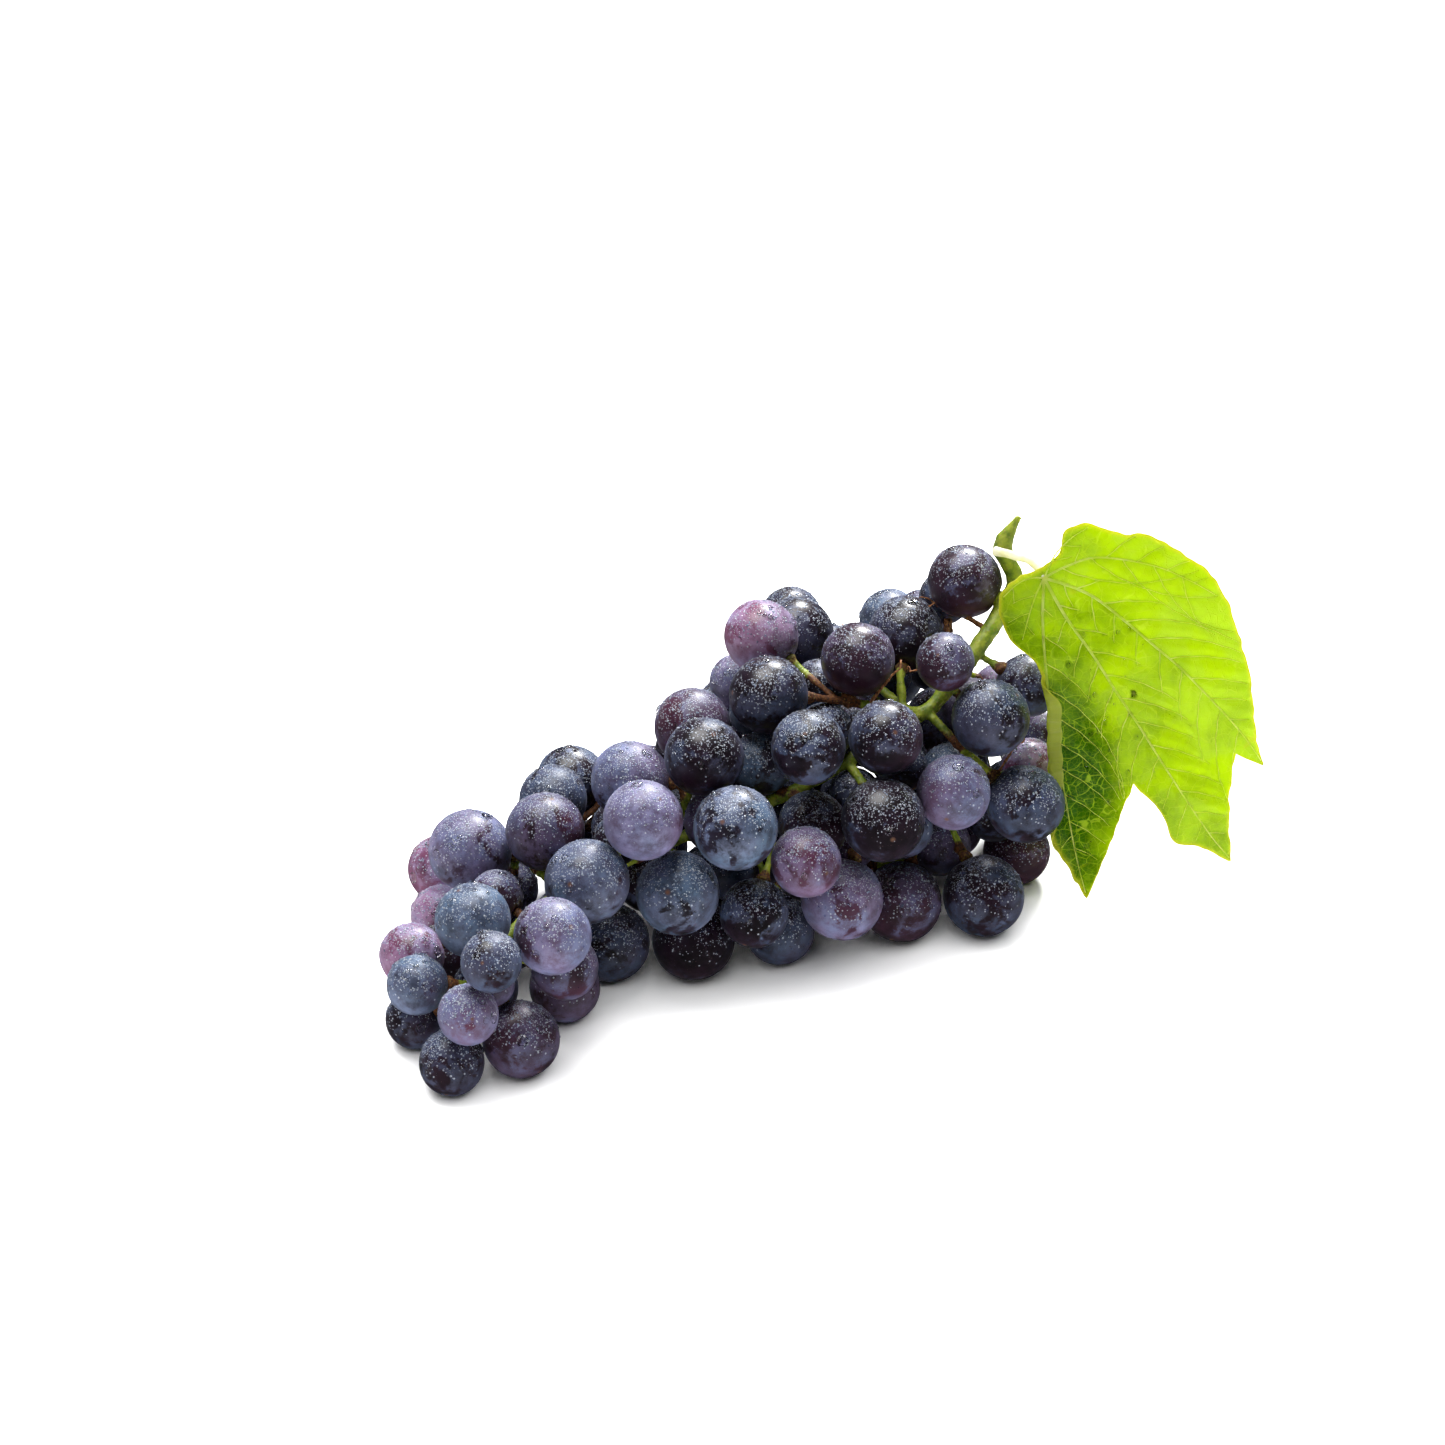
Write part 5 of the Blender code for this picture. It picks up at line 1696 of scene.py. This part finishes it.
    def painted_light(self, shares: np.ndarray) -> np.ndarray:
        """Painted light on the blade: most at the upper right, least lower left.

        light = 0.78 + (x - 0.33) / 2 - (y - 0.3) / 2 - 0.62 e^(-a^2 - b^2), with a and b
        how far it is from the middle of the lower left lobe, plus some noise.
        """
        slope = 0.78 + 0.5 * (shares[:, 0] - 0.33) - 0.5 * (shares[:, 1] - 0.3)
        slope -= 0.62 * np.exp(-((shares[:, 0] - 0.13) / 0.11) ** 2
                               - ((shares[:, 1] - 0.52) / 0.28) ** 2)
        flat = np.column_stack([self.flat(shares), np.zeros(len(shares))])
        return np.clip(slope + 0.35 * (lattice_noise(flat, 9.0, 41) - 0.5), 0.0, 1.0)

    def build(self, faces: Sequence[bpy.types.Material], rib: bpy.types.Material,
              stalk: bpy.types.Material, bunch: Bunch) -> None:
        """Makes the blade, its ribs and its stalk.

        Args:
            faces: Materials of its upper side, underside and margin.
            rib: The ribs' material.
            stalk: Its stalk's material.
            bunch: The berries, whose stem the stalk springs from.
        """
        surface = self.blade()
        piece = make_piece("vine_leaf", surface, faces, "leaf")
        self.map_plan(piece)
        wall = piece.modifiers.new("wall", "SOLIDIFY")
        wall.thickness = self.thickness * MM
        wall.offset = 0.0
        wall.material_offset = 1
        wall.material_offset_rim = 2
        veins = [self.vein_tube(wide, line) for wide, line in self.veins]
        make_piece("leaf_veins", Surface.joined(veins), [rib])
        make_piece("leaf_stalk", self.stalk(bunch), [stalk])
        log.info("leaf with %d veins", len(veins))

    def map_plan(self, piece: bpy.types.Object) -> None:
        """Lays the leaf's flat plan on it as a map."""
        layer = piece.data.uv_layers.new(name="leaf_plan")
        loops = np.empty(len(piece.data.loops), np.int32)
        piece.data.loops.foreach_get("vertex_index", loops)
        flat = self.flat(self.blade_plan) / self.plan
        layer.uv.foreach_set("vector", flat[loops].astype(np.float32).ravel())

    def vein_tube(self, wide: float, line: np.ndarray) -> Surface:
        """A vein as a flat tube that stands a little proud of both sides of the blade."""
        shares = line / np.array([self.width, self.length])
        path = self.place(shares)
        taper = np.linspace(1.0, 0.3, len(line)) ** 0.8
        radii = np.maximum(0.5 * wide * taper, 0.09)
        height = (0.5 * self.thickness + 0.17 + 0.16 * radii)
        tube_surface = tube(path, radii, 8, 1.0, self.facing(shares))
        rings = tube_surface.corners[:-2].reshape(len(line), 8, 3)
        up = unit(self.facing(shares))[:, None]
        rise = ((rings - path[:, None]) * up).sum(axis=2, keepdims=True)
        rings = rings + up * rise * (height / radii - 1.0)[:, None, None]
        tube_surface.corners[:-2] = rings.reshape(-1, 3)
        return tube_surface

    def stalk(self, bunch: Bunch) -> Surface:
        """The leaf's stalk: an arc from the stem's knob to the blade's notch."""
        corners = bunch.leaf
        behind = corners[(corners[:, 1] > self.joint[1] + 1.2)
                         & (corners[:, 0] < self.joint[0] + 0.3)]
        order = np.argsort(-behind[:, 1])
        groups = np.array_split(behind[order], 5)
        path = [group.mean(axis=0) for group in groups]
        back = unit(path[0] - path[1])
        end = np.array([[0.012, 0.015]])
        tip = (self.place(end) - 1.2 * self.facing(end))[0]
        path = [path[0] + 1.5 * back] + path + [self.joint + [-0.2, 0.4, 0.3], tip]
        line = curve_through(path, 0.8)
        radii = np.interp(np.linspace(0, 1, len(line)), [0, 0.12, 0.8, 1],
                          [1.3, 1.12, 1.0, 0.5])
        return tube(line, radii, 16)


# --- Studio ----------------------------------------------------------------------------

@dataclass
class Studio:
    """A pale floor, soft light from behind and above, and the camera."""

    aim: tuple[float, float, float] = (-28.0, 38.3, 40.0)
    distance: float = 1000.0
    elevation: float = 32.0
    lens: float = 94.67
    floor_half: float = 1500.0
    surround: float = 0.03           # light that comes from all round

    def build(self, floor: bpy.types.Material) -> None:
        """Sets up the floor, the lamps and the camera."""
        half = self.floor_half
        corners = np.array([[-half, -half, 0.0], [half, -half, 0.0], [half, half, 0.0],
                            [-half, half, 0.0]])
        mesh = bpy.data.meshes.new("floor")
        mesh.from_pydata((corners * MM).tolist(), [], [[0, 1, 2, 3]])
        mesh.materials.append(floor)
        ground = bpy.data.objects.new("floor", mesh)
        bpy.context.scene.collection.objects.link(ground)
        ground.visible_glossy = False
        ground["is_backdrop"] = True
        self.sky()
        self.lamp("back_light", (0.25, 0.95, 0.95), 0.42, 34.0)
        self.lamp("top_light", (-0.25, 0.2, 1.3), 0.95, 23.0)
        fill = self.lamp("front_light", (-0.6, -1.2, 0.9), 1.0, 2.8)
        fill.visible_glossy = False
        self.floor_lamp(ground)
        self.camera()

    def sky(self) -> None:
        """A white backdrop past the floor, which lights the bunch only a little."""
        world = bpy.data.worlds.new("surround")
        world.use_nodes = True
        tree = world.node_tree
        lit = tree.nodes["Background"]
        lit.inputs[1].default_value = self.surround
        backdrop = tree.nodes.new("ShaderNodeBackground")
        for shade in (lit, backdrop):
            shade.inputs[0].default_value = (1.0, 1.0, 1.0, 1.0)
        path = tree.nodes.new("ShaderNodeLightPath")
        mix = tree.nodes.new("ShaderNodeMixShader")
        tree.links.new(path.outputs["Is Camera Ray"], mix.inputs[0])
        tree.links.new(lit.outputs[0], mix.inputs[1])
        tree.links.new(backdrop.outputs[0], mix.inputs[2])
        tree.links.new(mix.outputs[0], tree.nodes["World Output"].inputs["Surface"])
        bpy.context.scene.world = world
        bpy.context.scene.view_settings.view_transform = "Standard"

    def lamp(self, name: str, place: tuple[float, float, float], size: float,
             power: float) -> bpy.types.Object:
        """A round soft lamp turned to the bunch."""
        data = bpy.data.lights.new(name, "AREA")
        data.shape = "DISK"
        data.size = size
        data.energy = power
        lamp = bpy.data.objects.new(name, data)
        lamp.location = place
        towards = Vector((0.0, 0.0, 0.03)) - Vector(place)
        lamp.rotation_euler = towards.to_track_quat("-Z", "Y").to_euler()
        bpy.context.scene.collection.objects.link(lamp)
        return lamp

    def floor_lamp(self, ground: bpy.types.Object) -> None:
        """A wide lamp overhead that lights only the floor, so that its shadows stay close."""
        lamp = self.lamp("floor_light", (0.0, 0.0, 1.6), 3.2, 97.0)
        lamp.visible_glossy = False
        only = bpy.data.collections.new("lit_floor")
        only.objects.link(ground)
        lamp.light_linking.receiver_collection = only

    def camera(self) -> None:
        """The camera, looking down at the bunch from the front."""
        tilt = math.radians(self.elevation)
        away = Vector((0.0, -math.cos(tilt), math.sin(tilt))) * self.distance
        data = bpy.data.cameras.new("camera")
        data.lens = self.lens
        data.sensor_width = 36.0
        data.clip_end = 20.0
        camera = bpy.data.objects.new("camera", data)
        camera.location = (Vector(self.aim) + away) * MM
        camera.rotation_euler = (math.radians(90.0) - tilt, 0.0, 0.0)
        bpy.context.scene.collection.objects.link(camera)
        bpy.context.scene.camera = camera


def report_sizes() -> Iterator[list[float]]:
    """The corners of the finished object's box."""
    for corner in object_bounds():
        yield list(corner)


def main() -> None:
    """Builds the bunch piece by piece, then the studio round it."""
    logging.basicConfig(level=logging.INFO, format="%(name)s: %(message)s")
    skins = {skin: finish.material(skin) for skin, finish in SKINS.items()}
    bunch = Bunch()
    bunch.build(skins)
    Stem().build(bunch, StemFinish().material())
    # Each face's first two colours are its painted lit and painted shaded green.
    upper = LeafFinish((178, 208, 0), (56, 98, 0), (204, 224, 70), 0.1, 0.4, 0.62)
    under = LeafFinish((194, 206, 88), (156, 180, 62), (208, 216, 120), 0.4, 0.6, 0.6)
    margin = RibFinish((206, 206, 64), (186, 190, 40), 0.4)
    rib = RibFinish((244, 248, 150), (226, 238, 100), 0.75)
    # The stalk's own pale colour is lifted to near-white: partly a painted highlight of the
    # strong light on it.
    stalk = RibFinish((252, 250, 226), (238, 236, 188), 0.4)
    blade = [upper.material("leaf_green"), under.material("leaf_underside"),
             margin.material("leaf_margin")]
    leaf = Leaf()
    leaf.build(blade, rib.material("leaf_rib"), stalk.material("leaf_stalk"), bunch)
    Scraps().build(bunch, DriedFinish().material())
    Dew().build(bunch, leaf, MistFinish().material(), DewFinish().material())
    Studio().build(FloorFinish().material())
    {"cad": CAD_BOX, "visual": list(report_sizes())}


if __name__ == "__main__":
    main()
